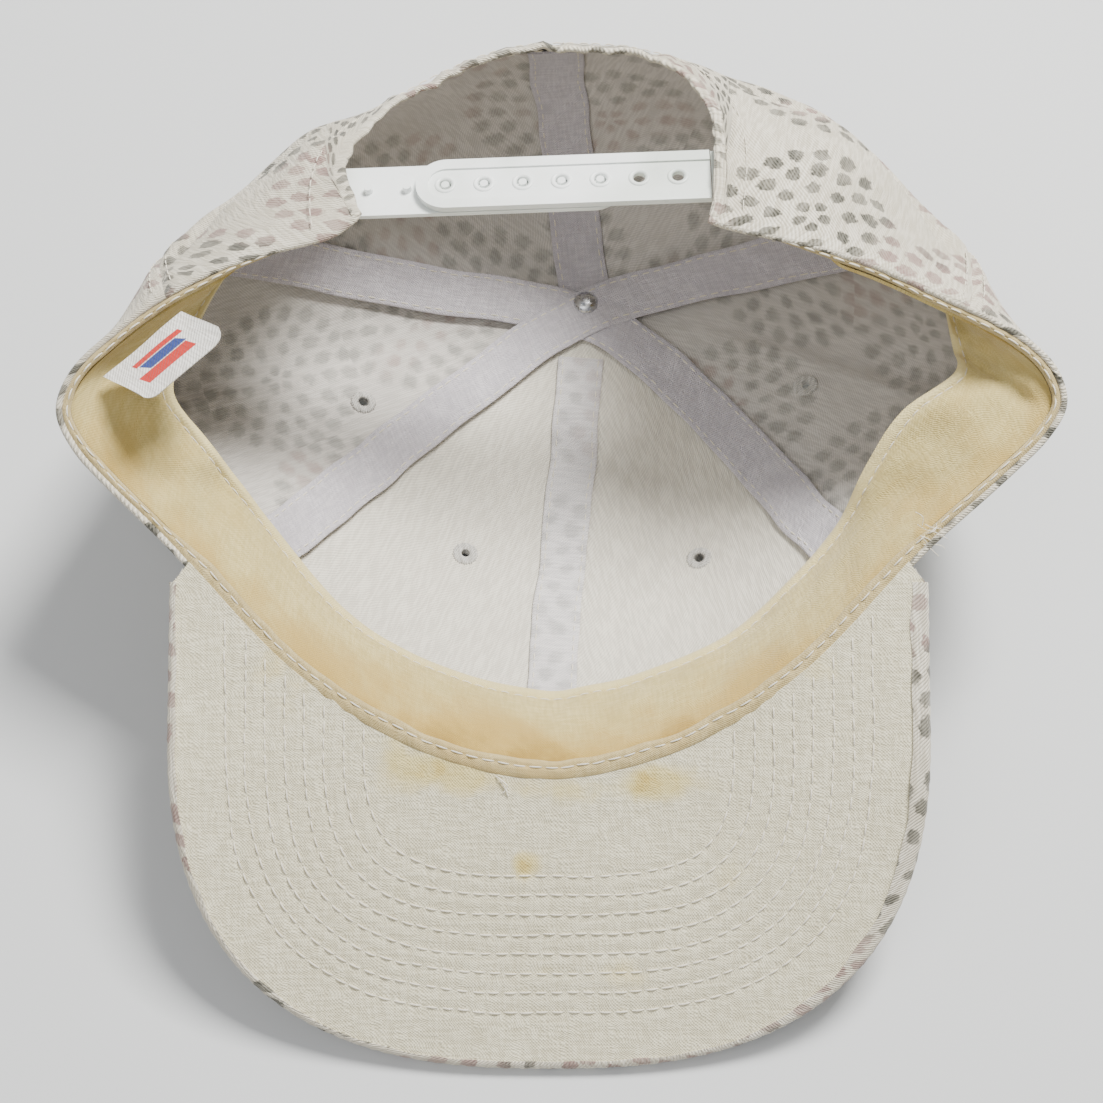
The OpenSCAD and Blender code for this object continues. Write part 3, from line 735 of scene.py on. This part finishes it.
middle = acos(-MID / HALF)
rear_r = np.r_[np.linspace(AFT, ARCH_R - 4, 34),
               s_of(MID + HALF * np.cos(np.linspace(0, 1, 40) * middle))]
rear_l = np.r_[s_of(MID - HALF * np.cos(np.linspace(1, 0, 40) * (pi - middle))),
               np.linspace(ARCH_L + 4, -AFT, 24)]
for place, hand, a, b, step, offset in (
        ("front", "left", -FORE, 0, 2, (12, 5)), ("front", "right", 0, FORE, 2, (71, 20)),
        ("side", "left", -AFT, -FORE, 1.3, (-33, 14)), ("side", "right", FORE, AFT, 1.3, (25, 52))):
    vent = f"eyelet_{place}_{hand}"
    cols = columns(a, b, step, vent)
    panel(f"{place}_cloth_{hand}", cols, [f"{place}_panel_{hand}"], offset, vent)
panel("rear_cloth_right", rear_r, ["rear_panel_right"], (-14, 47))
panel("rear_cloth_left", rear_l, ["rear_panel_left", "arch_binding"], (44, -9))
lining("left", -FORE, 0, (3, 8))
lining("right", 0, FORE, (40, 3))


# ---- seam tapes
def tape_frame(s, t):
    """Points of the crown, and the directions across a line there and outward."""
    s, t = np.broadcast_arrays(float(s), t)
    n = normal(s, t)
    a = unit(crown(s, t + 0.01) - crown(s, t - 0.01))
    return crown(s, t), unit(np.cross(a, n)), n


def tape(name, c, side, n, wide, depth, node, rests, seed, mat):
    """A strip along centres c, that far inside the cloth. Returns its two rows of stitches."""
    half, sag = wide / 2, 0.006
    x = np.r_[-1, -0.96, np.linspace(-0.88, 0.88, 13), 0.96, 1] * half
    waver = 0.35 * ripple(c, 23, seed)
    xs = x * (1 + 0.03 * ripple(c, 31, seed + 1)[:, None]) + waver[:, None]
    p = c[:, None] + side[:, None] * xs[..., None]
    waves = np.sin(chords(c) * 2 * pi / 4.4)[:, None]
    puff = 0.12 * ripple(p, 7, seed + 2) + 0.10 * waves * smooth(np.abs(x), half - 3, half)
    face = 0.55 * np.clip(1 - (np.abs(x) / half) ** 7, 0, 1) ** 0.5 + puff * 0.6
    groove = 0.22 * bell(np.abs(x), half - 1.5, 0.6)
    base = depth + sag * x**2 + 0 * face
    low = p - n[:, None] * base[..., None]
    top = p - n[:, None] * (base + 0.08 + face - groove)[..., None]
    cloth(name, low, top, [mat], [node], rests)
    row = n * (depth + sag * (half - 1.5) ** 2 + 0.38)
    return [(c + side * (k * (half - 1.5) + waver)[:, None] - row, -n) for k in (-1, 1)]


def crossing(name, sa, sb, depth, node, seed):
    """A tape along the seams at sa and sb, which crosses over the inside of the button."""
    far = np.linspace(0.80, 0.06, 56)
    ca, la, na = tape_frame(sa, far)
    cb, lb, nb = tape_frame(sb, far[::-1])
    c = np.concatenate([ca, APEX[None], cb])
    side = np.concatenate([-la, np.cross(unit(ray(sa) - ray(sb)), UP)[None], lb])
    n = np.concatenate([na, -UP[None], nb])
    f = 0.5 * (np.abs(np.arange(len(c)) - 56) < 7)[1:-1, None]
    for _ in range(10):
        for arr in (c, side, n):
            arr[1:-1] += f * ((arr[:-2] + arr[2:]) / 2 - arr[1:-1])
    side, n = unit(side), unit(n)
    # evenly spaced, so the strip has no long cell over the top
    run = chords(c)
    u = np.linspace(0, run[-1], 130)
    c, side, n = (stack(*(np.interp(u, run, a[:, i]) for i in range(3))) for a in (c, side, n))
    return tape(name, c, unit(side), unit(n), 14, depth, node, "front_lining_right", seed, TAPE)


rows = tape("front_centre_tape_cloth", *tape_frame(0, np.linspace(0.10, 0.87, 64)), 13, 1.2,
            "front_centre_tape", "front_lining_left", 41, SHOW)
rows += tape("rear_centre_tape_cloth", *tape_frame(TR, np.linspace(0.025, 0.615, 52)), 15, 0.5,
             "rear_centre_tape", "rear_cloth_left", 47, TAPE)
rows += crossing("cross_tape_lower_cloth", FORE, -AFT, 1.75, "cross_tape_lower", 53)
rows += crossing("cross_tape_upper_cloth", -FORE, AFT, 2.6, "cross_tape_upper", 61)
stitches("tape_stitches", rows, long=2.3, gap=0.95, r=0.19, seed=3)

# ---- sweatband and edge binding
B0, B1 = ARCH_L + 9, ARCH_R - 9


def band(s, v):
    s, v = np.broadcast_arrays(s, v)
    top = rim(s) - outward(s) * 2.4 + [0, 0, -2]
    # the ends narrow away under the flaps
    v = v + (1 - v) * 0.85 * (1 - smooth(np.minimum(s - B0, B1 - s), 0, 24))
    return top * (1 - v)[..., None] + hem(s) * v[..., None]


def band_in(s, v):
    """Direction off the sweatband into the cap."""
    s, v = np.broadcast_arrays(s, v)
    return -unit(np.cross(band(s + 0.8, v) - band(s - 0.8, v), band(s, v) - band(s, v + 0.1)))


s = np.r_[np.linspace(B0, -120, 90), np.linspace(-118.5, 118.5, 130), np.linspace(120, B1, 100)]
s = s[:, None]
v = np.r_[np.linspace(0, 0.84, 30), np.linspace(0.86, 1.0, 12)]
p, n = band(s, v), band_in(s, v)
q = np.abs(s)
corner = span(q, 105, 140, 190, 225)
d = 1.5 * np.sin(pi * np.clip(v / 0.9, 0, 1)) ** 0.8 * (1 - 0.5 * corner)
d = d + (0.55 * ripple(p, 34, 21) + 0.20 * ripple(p, 13, 22)) * smooth(v, 0, 0.25) \
    * (1 - 0.6 * smooth(v, 0.8, 1))
d += corner * (0.8 * ripple(p * [1, 1, 2.2], 17, 23)) * smooth(v, 0.05, 0.4) \
    * (1 - 0.5 * smooth(v, 0.75, 1))
# creases in its corners: how deep, where, how slanted about which row, how wide, and the rows
# between which they grow
for deep, x, slant, row, wide, grow in (
        (1.9, 163, 14, 0.5, 2.8, (0.05, 0.3)), (1.0, 178, -18, 0.5, 2.6, (0.1, 0.5)),
        (0.7, -150, -16, 0.4, 4.5, (0.05, 0.3)), (0.7, -174, 20, 0, 4.0, (0.05, 0.3))):
    d -= deep * bell(s - slant * (v - row), x, wide) * smooth(v, *grow)
d += 0.6 * bell(s, 13, 8) * bell(v, 0.9, 0.14) - 0.9 * bell(s, 2, 7) * bell(v, 0.95, 0.14)
roll = (0.5 * bell(v, 0.95, 0.035) - 0.4 * bell(v, 0.895, 0.012)) * np.clip((v - 0.8) * 20, 0, 1)
face = p + n * (0.45 + d + roll)[..., None]
rear = p + n * (-0.45 + 0.9 * d)[..., None]
stain = (1 - v) ** 1.1 * (0.42 + 0.5 * bell(s, 5, 80)) + 0.10 * bell(q, 150, 40) + 0.1
cloth("sweatband_cloth", rear, face, [BAND], ["sweatband"], "front_lining_left", held="folded",
      stain=stain, hem=smooth(v, 0.885, 0.90) + 0 * s)

at = np.linspace(B0 + 1, B1 - 1, 700)
i, j = [np.argmin(np.abs(s[:, 0] - x)) for x in at], np.argmin(np.abs(v - 0.895))
row = stack(*(np.interp(at, s[:, 0], face[:, j, k]) for k in range(3)))
stitches("hem_stitches", [(row + n[i, j] * 0.05, n[i, j])], long=2.6, gap=0.8, r=0.17, seed=9)

s = np.linspace(B0, B1, 560)
x = np.linspace(0, 1, 15)
n, edge = outward(s), rim(s)
side = smooth(np.abs(s), 100, 118)
near = 4.3 - 1.6 * side - 0.9 * smooth(np.abs(s), 185, 225)
near += (0.25 * ripple(edge, 17, 31) + 0.12 * ripple(edge, 6, 33)) * (1 - 0.6 * side)
near = 0.9 + (near - 0.9) * smooth(np.minimum(s - B0, B1 - s), 0, 26)
far = -0.5 + 1.0 * side + 0.12 * ripple(edge, 15, 35)
near = np.maximum(near, far + 0.5)
across = near[:, None] + (far - near)[:, None] * x
high = 0.95 * np.sin(pi * np.clip(x, 0, 1)) ** 0.45 - 0.28 * bell(x, 0.33, 0.07)
high = -0.3 - 0.25 * side[:, None] + high * (1 + 0.15 * ripple(edge, 8, 36)[:, None])
high += 0.09 * np.sin(s * 2 * pi / 4.0)[:, None] * bell(x, 0.33, 0.22)
p = edge[:, None] - n[:, None] * across[..., None]
cloth("edge_binding_cloth", p + Z * np.minimum(high - 0.25, -0.6)[..., None],
      p + Z * high[..., None], [PIPE], ["sweatband_piping"], "sweatband_cloth", held="folded",
      stain=0.2 + 0.5 * bell(s, 0, 70)[:, None] + 0 * high)
row = edge - n * (near + (far - near) * 0.33)[:, None] + Z * (0.47 - 0.25 * side)[:, None]
stitches("binding_stitches", [(row, Z + 0 * row)], long=2.9, gap=1.0, r=0.22, seed=13)

# ---- visor
# half width, length, where its front curve begins, its half root along the edge, its rear end
W, L, Y0, ROOT, SIDE = 92.5, 71.0, 15.0, 106.0, 48.0
# share of the outline that is the front curve, and the first, the pitch and the number of rows
BOW, FIRST, PITCH, ROWS = 0.82, 13.5, 4.8, 8


def outline(u, cut=0.0, square=2.6):
    """The visor's outline, or one that lies that far inside it."""
    d, g, a, b = np.abs(u), np.sign(u), W - cut, L + Y0 - cut
    f = np.minimum(d / BOW, 1) * pi / 2
    r = ((np.sin(f) / a) ** square + (np.maximum(np.cos(f), 0) / b) ** square) ** (-1 / square)
    x = np.where(d <= BOW, r * np.sin(f), a)
    y = np.where(d <= BOW, Y0 - r * np.cos(f), Y0 + (SIDE - Y0) * (d - BOW) / (1 - BOW))
    return stack(g * x, y, 0 * x)


def visor_lift(p):
    side = 5 * np.maximum(0, np.abs(p[..., 0]) - 30) ** 2 / 3900
    return side * np.clip((60 - p[..., 1]) / 60, 0, 1)


def off_edge(e):
    """Direction off the visor's edge."""
    return unit(stack(e[..., 0] * 0.8, np.minimum(0, e[..., 1] + 22) - 1, 0 * e[..., 0]))


def visor(u, v, grow, root):
    u, v = np.broadcast_arrays(u, v)
    r = rim(ROOT * u) + outward(ROOT * u) * root
    e = outline(u)
    p = r * (1 - v)[..., None] + (e + grow * off_edge(e)) * v[..., None]
    return p + Z * visor_lift(p)[..., None]


def square_of(cut):
    return 2.6 + 0.26 * np.clip(cut / 13.5, 0, 1) + 0.13 * np.maximum(0, cut - 13.5) / 4.8


def inside(p):
    """How far inside the visor's outline the nested outline through a point lies."""
    lo, hi = np.full(p.shape[:-1], -3.0), np.full(p.shape[:-1], 70.0)
    for _ in range(22):
        m = (lo + hi) / 2
        k, ahead = square_of(m), np.maximum(0, Y0 - p[..., 1])
        f = (np.abs(p[..., 0]) / (W - m)) ** k + (ahead / (L + Y0 - m)) ** k
        lo, hi = np.where(f < 1, m, lo), np.where(f < 1, hi, m)
    return lo


u = np.linspace(-1, 1, 221)
p = visor(u[:, None], np.linspace(0, 1, 90), -0.9, -0.8)
k = (inside(p) - FIRST) / PITCH
quilt = np.where((k > -0.5) & (k < ROWS - 0.5), -0.11 * np.cos(2 * pi * k) - 0.03, 0.08)
quilt += 0.10 * ripple(p, 26, 71)
stain = 0.08
for cx, cy, rx, ry, amount in (
        (-27, 2, 17, 5, 0.9), (26, 0, 9, 5.5, 0.95), (4, -3, 30, 4, 0.45),
        (-6, -21, 3.5, 3.5, 1.1), (-64, 27, 9, 10, 0.45), (66, 26, 8, 8, 0.35),
        (20, -48, 6, 5, 0.35), (45, -25, 5, 9, 0.25), (-38, 10, 12, 6, 0.4), (2, -46, 12, 4, 0.3)):
    stain = stain + amount * bell(p[..., 0], cx, rx) * bell(p[..., 1], cy, ry)
cloth("visor_under_cloth", p - Z * 0.55, p + Z * quilt[..., None], [VISOR],
      ["visor_under_cover"], "visor_board", stain=stain, uv=p[..., :2] + [200, 200])

arc = np.linspace(0, pi, 13)
edge = outline(u)
back_in = -off_edge(edge)
strip = 1.6 + 2.6 * smooth(u, 0.25, 0.55) + 0.35 * ripple(edge, 12, 77)
strip = (strip[:, None] - 1.35) * [0.35, 0.7, 0.94, 1.0]
wave = np.sin(chords(edge) * 2 * pi / 4.1 + ripple(edge, 10, 78))[:, None]


def round_edge(off, high):
    high = visor_lift(edge)[:, None] + high
    return edge[:, None] + back_in[:, None] * (1.35 + off)[..., None] + Z * high[..., None]


base = visor(u[:, None], np.linspace(0, 1, 44) * 0.985, 0, 1.6)
flat_o = round_edge(strip, 0.30 - np.array([0, 0, 0.02, 0.14]))
outer = [base + Z * (-3.4 + 0.05 * ripple(base, 8, 79))[..., None],
         round_edge(-(1.85 + 0.10 * wave) * np.sin(arc), -1.55 - 1.85 * np.cos(arc)), flat_o]
inner = [base + Z * -2.9, round_edge(-1.3 * np.sin(arc), -1.55 - 1.35 * np.cos(arc)),
         flat_o - Z * np.array([0.4, 0.4, 0.36, 0.2])[:, None]]
# the print runs on flat over the edge
over = np.concatenate([1.85 * arc + 0 * wave, 5.8 + strip], 1)[..., None]
uv = np.concatenate([base[..., :2], edge[:, None, :2] - back_in[:, None, :2] * over], 1)
cloth("visor_top_cloth", np.concatenate(inner, 1), np.concatenate(outer, 1), [OUTER],
      ["visor_top_cover", "visor_edge_wrap"], "visor_board", uv=uv + [317, 224])

above, below = [], []
u = np.linspace(-1, 1, 1201)
far = np.abs(u) > BOW
seam = np.linspace(-112, 112, 400)
seam = rim(seam) + outward(seam) * 1.2
for i in range(ROWS):
    g = FIRST + PITCH * i
    p = outline(u, g, square_of(g))
    p[far, 1] += (np.abs(u[far]) - BOW) * 90
    # only what lies in front of the seam
    p = p[p[:, 1] < np.interp(p[:, 0], seam[:, 0], seam[:, 1])]
    p[:, :2] += (0.22 * ripple(p, 30, 90 + i))[:, None]
    h = visor_lift(p)
    above.append((p + Z * (h - 0.10)[:, None], Z + 0 * p))
    below.append((p + Z * (h - 3.42)[:, None], -Z + 0 * p))
stitches("visor_stitches", above, long=3.0, gap=0.85, r=0.25, seed=17)
stitches("visor_stitches_below", below, long=3.1, gap=0.75, r=0.2, seed=18)

# ---- topstitching outside the crown
rows = []
for seam in (0, FORE, AFT, TR, -FORE, -AFT):
    for k in (-1, 1):
        c, side, n = tape_frame(seam, np.linspace(0.09, 0.65 if seam == TR else 0.985, 90))
        rows.append((c + side * (2.7 * k) + n * 1.28, n))
c = MID + HALF * np.cos(np.linspace(0.02, pi - 0.02, 260))
e, n = crown(s_of(c), arch_top(c)), normal(s_of(c), arch_top(c))
b = unit(np.cross(n, unit(np.gradient(e, axis=0))))
b = b * np.sign(np.sum(b * (e - APEX), -1).mean())
rows.append((e - b * 5.0 + n * 0.98, n))
stitches("seam_stitches", rows, long=2.6, gap=0.8, r=0.17, seed=23)
stitches("arch_stitches", [(e - b * 4.9 - n * 0.78, -n)], long=2.6, gap=0.8, r=0.17, seed=24)


# ---- turned trim
def at_skin(s, t):
    c, n = skin(s, t)
    a = unit(np.cross([0, 1.0, 0.3], n))
    b = np.cross(n, a)
    return lambda p: c + p[:, :1] * a + p[:, 1:2] * b + p[:, 2:] * n


def threads(a, prof):
    return (0.16 * np.sin(a * 31) + 0.09 * np.sin(a * 13 + 1)) * (prof[:, 0] > 1.4)


def pleats(a, prof):
    return 0.16 * np.sin(a * 13) * smooth(prof[:, 1], -4.5, -2) * (prof[:, 0] > 3)


for name, (s, t, inner) in VENTS.items():
    r = 1.15 if name in ("eyelet_front_left", "eyelet_side_right") else 1.45
    k = -inner + 0.25
    prof = [(r, k), (r + 0.05, k - 0.3), (r + 0.5, k - 0.5), (2.4, k - 0.48), (3.0, k - 0.36),
            (3.4, k - 0.1), (3.5, k + 0.2), (3.4, 1.0), (3.2, 1.35), (2.4, 1.6), (r + 0.5, 1.55),
            (r, 1.2), (r, k)]
    lathe(name + "_thread", prof, at_skin(s, t), EYE, name, 184, threads)
prof = [(0, -5.6), (1.8, -5.6), (3.4, -5.58), (4.6, -5.3), (5.8, -4.75), (6.8, -4.1),
        (7.35, -3.4), (7.5, -2.7), (7.3, -1.9), (6.8, -1.3), (5.6, -1.15), (0, -1.15)]
lathe("button_cloth", prof, at_apex, OUTER, "top_button", 96, pleats)
prof = [(0, -4), (1.35, -4), (1.35, 3.25), (3.5, 3.25), (3.72, 3.4), (3.7, 3.65), (3.4, 4.05),
        (3.05, 4.45), (2.5, 4.85), (1.8, 5.12), (0.9, 5.28), (0, 5.32)]
lathe("rivet_dome", prof, at_apex, METAL, "button_rivet", 64)


# ---- snap straps: the CAD straps keep their shape, with soft edges and rings round the holes
def sewn(p, turns, origin):
    """Sets a part that was drawn flat in its place, turned about x, then y, then z."""
    p = p * [1, -1, 1]
    for i, degrees in enumerate(turns):
        a, j, k = radians(degrees), (i + 1) % 3, (i + 2) % 3
        p[..., j], p[..., k] = (p[..., j] * cos(a) - p[..., k] * sin(a),
                                p[..., j] * sin(a) + p[..., k] * cos(a))
    return p + origin


nodes = frame["nodes"]
for name in ("hole_strap", "hole_strap_anchor", "peg_strap", "peg_strap_anchor"):
    o = nodes[name]
    count = len(o.data.polygons)
    o.data.materials.clear()
    o.data.materials.append(SNAP)
    o.data.polygons.foreach_set("use_smooth", np.ones(count, bool))
    o.data.polygons.foreach_set("material_index", np.zeros(count, np.int32))
    bev = o.modifiers.new("soft_edges", "BEVEL")
    bev.width, bev.segments, bev.angle_limit = 0.0003, 2, radians(40)
    bev.limit_method = "ANGLE"
    bev.harden_normals = True
nodes["visor_board"].data.materials.clear()
nodes["visor_board"].data.materials.append(BOARD)
ring = np.array([(1.56, 1.15), (1.62, 1.3), (2.0, 1.52), (2.35, 1.56), (2.62, 1.4), (2.75, 1.18)])
a = np.linspace(0, 2 * pi, 48, endpoint=False)[:, None]
pts = [stack(ring[:, 0] * np.cos(a) + 9.4 + 9.7 * i, ring[:, 0] * np.sin(a), ring[:, 1] + 0 * a)
       for i in range(7)]
pts = np.reshape(pts, (-1, 3))
faces = [f for i in range(7) for f in turned(48, 6, 288 * i)]
o = make("snap_rings", sewn(pts, (30, 1.8, 181.8), [41.6, 148.8, -9.6]), faces, [SNAP],
         pts[:, :2] / 100)
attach(o, "hole_strap_body")

# ---- label: a folded loop of ribbon sewn in at the left corner
def ribbon(name, x0, x1, y1, z0, bow, mat, nodes, seed):
    a = np.linspace(x0, x1, 60)[:, None]
    b = np.linspace(0, 1, 44)
    # rounded free corners
    corner = np.maximum(0, 4 - np.minimum(a - x0, x1 - a))
    y = 0.4 + (y1 - 0.4 - 4 + np.sqrt(np.maximum(0, 16 - corner**2))) * b
    # it lies askew, and its free end lifts
    x = a + 5.0 * b
    z = z0 + 2.2 * b**2 + bow * np.sin(pi * b * 0.8) + 0.22 * ripple(stack(x, y, 0 * y), 13, seed)
    p, q = (sewn(stack(x, y, z - thick), (-30, 0, 40), [-109.5, 98.5, -1.6])
            for thick in (0, 0.28))
    o = grid(name, q, p, [mat], uv=stack(x - 5.0 * b - x0, y))
    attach(o, "label_body")
    if nodes:
        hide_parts(*nodes)
    size, area = cut((p + q) / 2)


m = Mat("label_ribbon", rough=0.5, sheen=0.3)
h = m.twill(0.7)
across, down = m.parts(m.uv())
c = m.mix(m.ramp(h, -0.4, 1.6), colour(214, 210, 202), colour(240, 238, 232))


def block(x0, x1, y0, y1, lean):
    """Mask of a leaning block on the label."""
    x = m.sub(across, m.mul(m.sub(down, (y0 + y1) / 2), lean))
    a, b = (m.mul(m.ramp(v, lo, lo + 0.25), m.ramp(v, hi, hi - 0.25))
            for v, lo, hi in ((x, x0, x1), (down, y0, y1)))
    return m.mul(a, b)


red = m.f("MAXIMUM", block(4.5, 19.5, 9.4, 13.2, 0.2), block(6.0, 20.8, 4.2, 6.2, 0.2))
c = m.mix(red, c, colour(196, 44, 34))
c = m.mix(block(7.5, 19.0, 6.2, 9.4, 0.5), c, colour(44, 62, 128))
ribbon("label_front", 0, 25, 18.0, 0.25, 1.0, m.finish(c, h, 0.35), ["size_label"], 81)
ribbon("label_back", 1.5, 23.5, 16.2, -0.7, 0.2, BACKING, [], 83)

# ---- loose threads
rng = np.random.default_rng(4)


def strand(points, r):
    p = np.array(points, float)
    c = chords(p) / chords(p)[-1]
    line = Line(p, c, p[1] - p[0], p[-1] - p[-2]).at(np.linspace(0, 1, 26))
    d = unit(np.gradient(line, axis=0))
    a = unit(np.cross(d, [0.3, 0.2, 1]))[:, None]
    b = np.cross(d[:, None], a)
    ang = (np.arange(6) * pi / 3)[:, None]
    return (line[:, None] + r * (a * np.cos(ang) + b * np.sin(ang))).reshape(-1, 3)


# two near the front seam, and a frayed tuft where the visor's edge meets the crown
strands = [strand([(-13, 0.5, 0.3), (-11.5, -0.5, 1.0), (-10.2, -2.0, 0.6), (-11.2, -3.6, 0.35)],
                  0.17),
           strand([(-12, -0.6, 0.4), (-10.6, -2.6, 0.7), (-10.0, -4.4, 0.4)], 0.17)]
for _ in range(9):
    p = np.array([92.0, 60, 0.5]) + rng.normal(0, 2.0, 3) * [1, 1.4, 0.2]
    d = unit(np.array([0.8, -0.5, 0.1]) + rng.normal(0, 0.5, 3) * [1, 1, 0.3])
    strands.append(strand([p, p + d * 2.2, p + d * 3.6 + rng.normal(0, 0.7, 3)], 0.10))
faces = [f for i in range(len(strands)) for f in tube(26, 156 * i)]
points = np.concatenate(strands)
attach(make("loose_threads", points, faces, [THREAD], points[:, :2] / 100), "cap")

# ---- floor, light, camera
me = bpy.data.meshes.new("floor")
me.from_pydata([(-3, -3, 0), (3, -3, 0), (3, 3, 0), (-3, 3, 0)], [], [(0, 1, 2, 3)])
m = Mat("floor", rough=0.85, sheen=0.0)
m.b.inputs["Base Color"].default_value = colour(205, 207, 208)
me.materials.append(m.m)
put("floor", me)


def lamp(name, energy, size, place, tint):
    data = bpy.data.lights.new(name, "AREA")
    data.energy, data.size, data.color = energy, size, tint
    o = put(name, data)
    o.location = place
    aim = Vector((0, 0, 0.05)) - Vector(place)
    o.rotation_euler = aim.to_track_quat("-Z", "Y").to_euler()


lamp("key", 42, 0.42, (0.42, 0.58, 1.12), (1.0, 0.985, 0.95))
lamp("fill", 7, 1.0, (-0.45, -0.5, 1.2), (1.0, 0.99, 0.975))
world = bpy.data.worlds.new("studio")
world.use_nodes = True
world.node_tree.nodes["Background"].inputs[0].default_value = (0.97, 0.975, 1.0, 1)
world.node_tree.nodes["Background"].inputs[1].default_value = 0.44
bpy.context.scene.world = world

# the camera looks square into the opening, so it leans as the cap does
cam = bpy.data.cameras.new("camera")
cam.sensor_fit, cam.sensor_width, cam.lens = "HORIZONTAL", 36, 65.3
cam.clip_start = 0.01
o = put("camera", cam)
o.location = (-0.0025, -0.2309, 0.4994)
o.rotation_euler = (TILT, 0, 0)
bpy.context.scene.camera = o
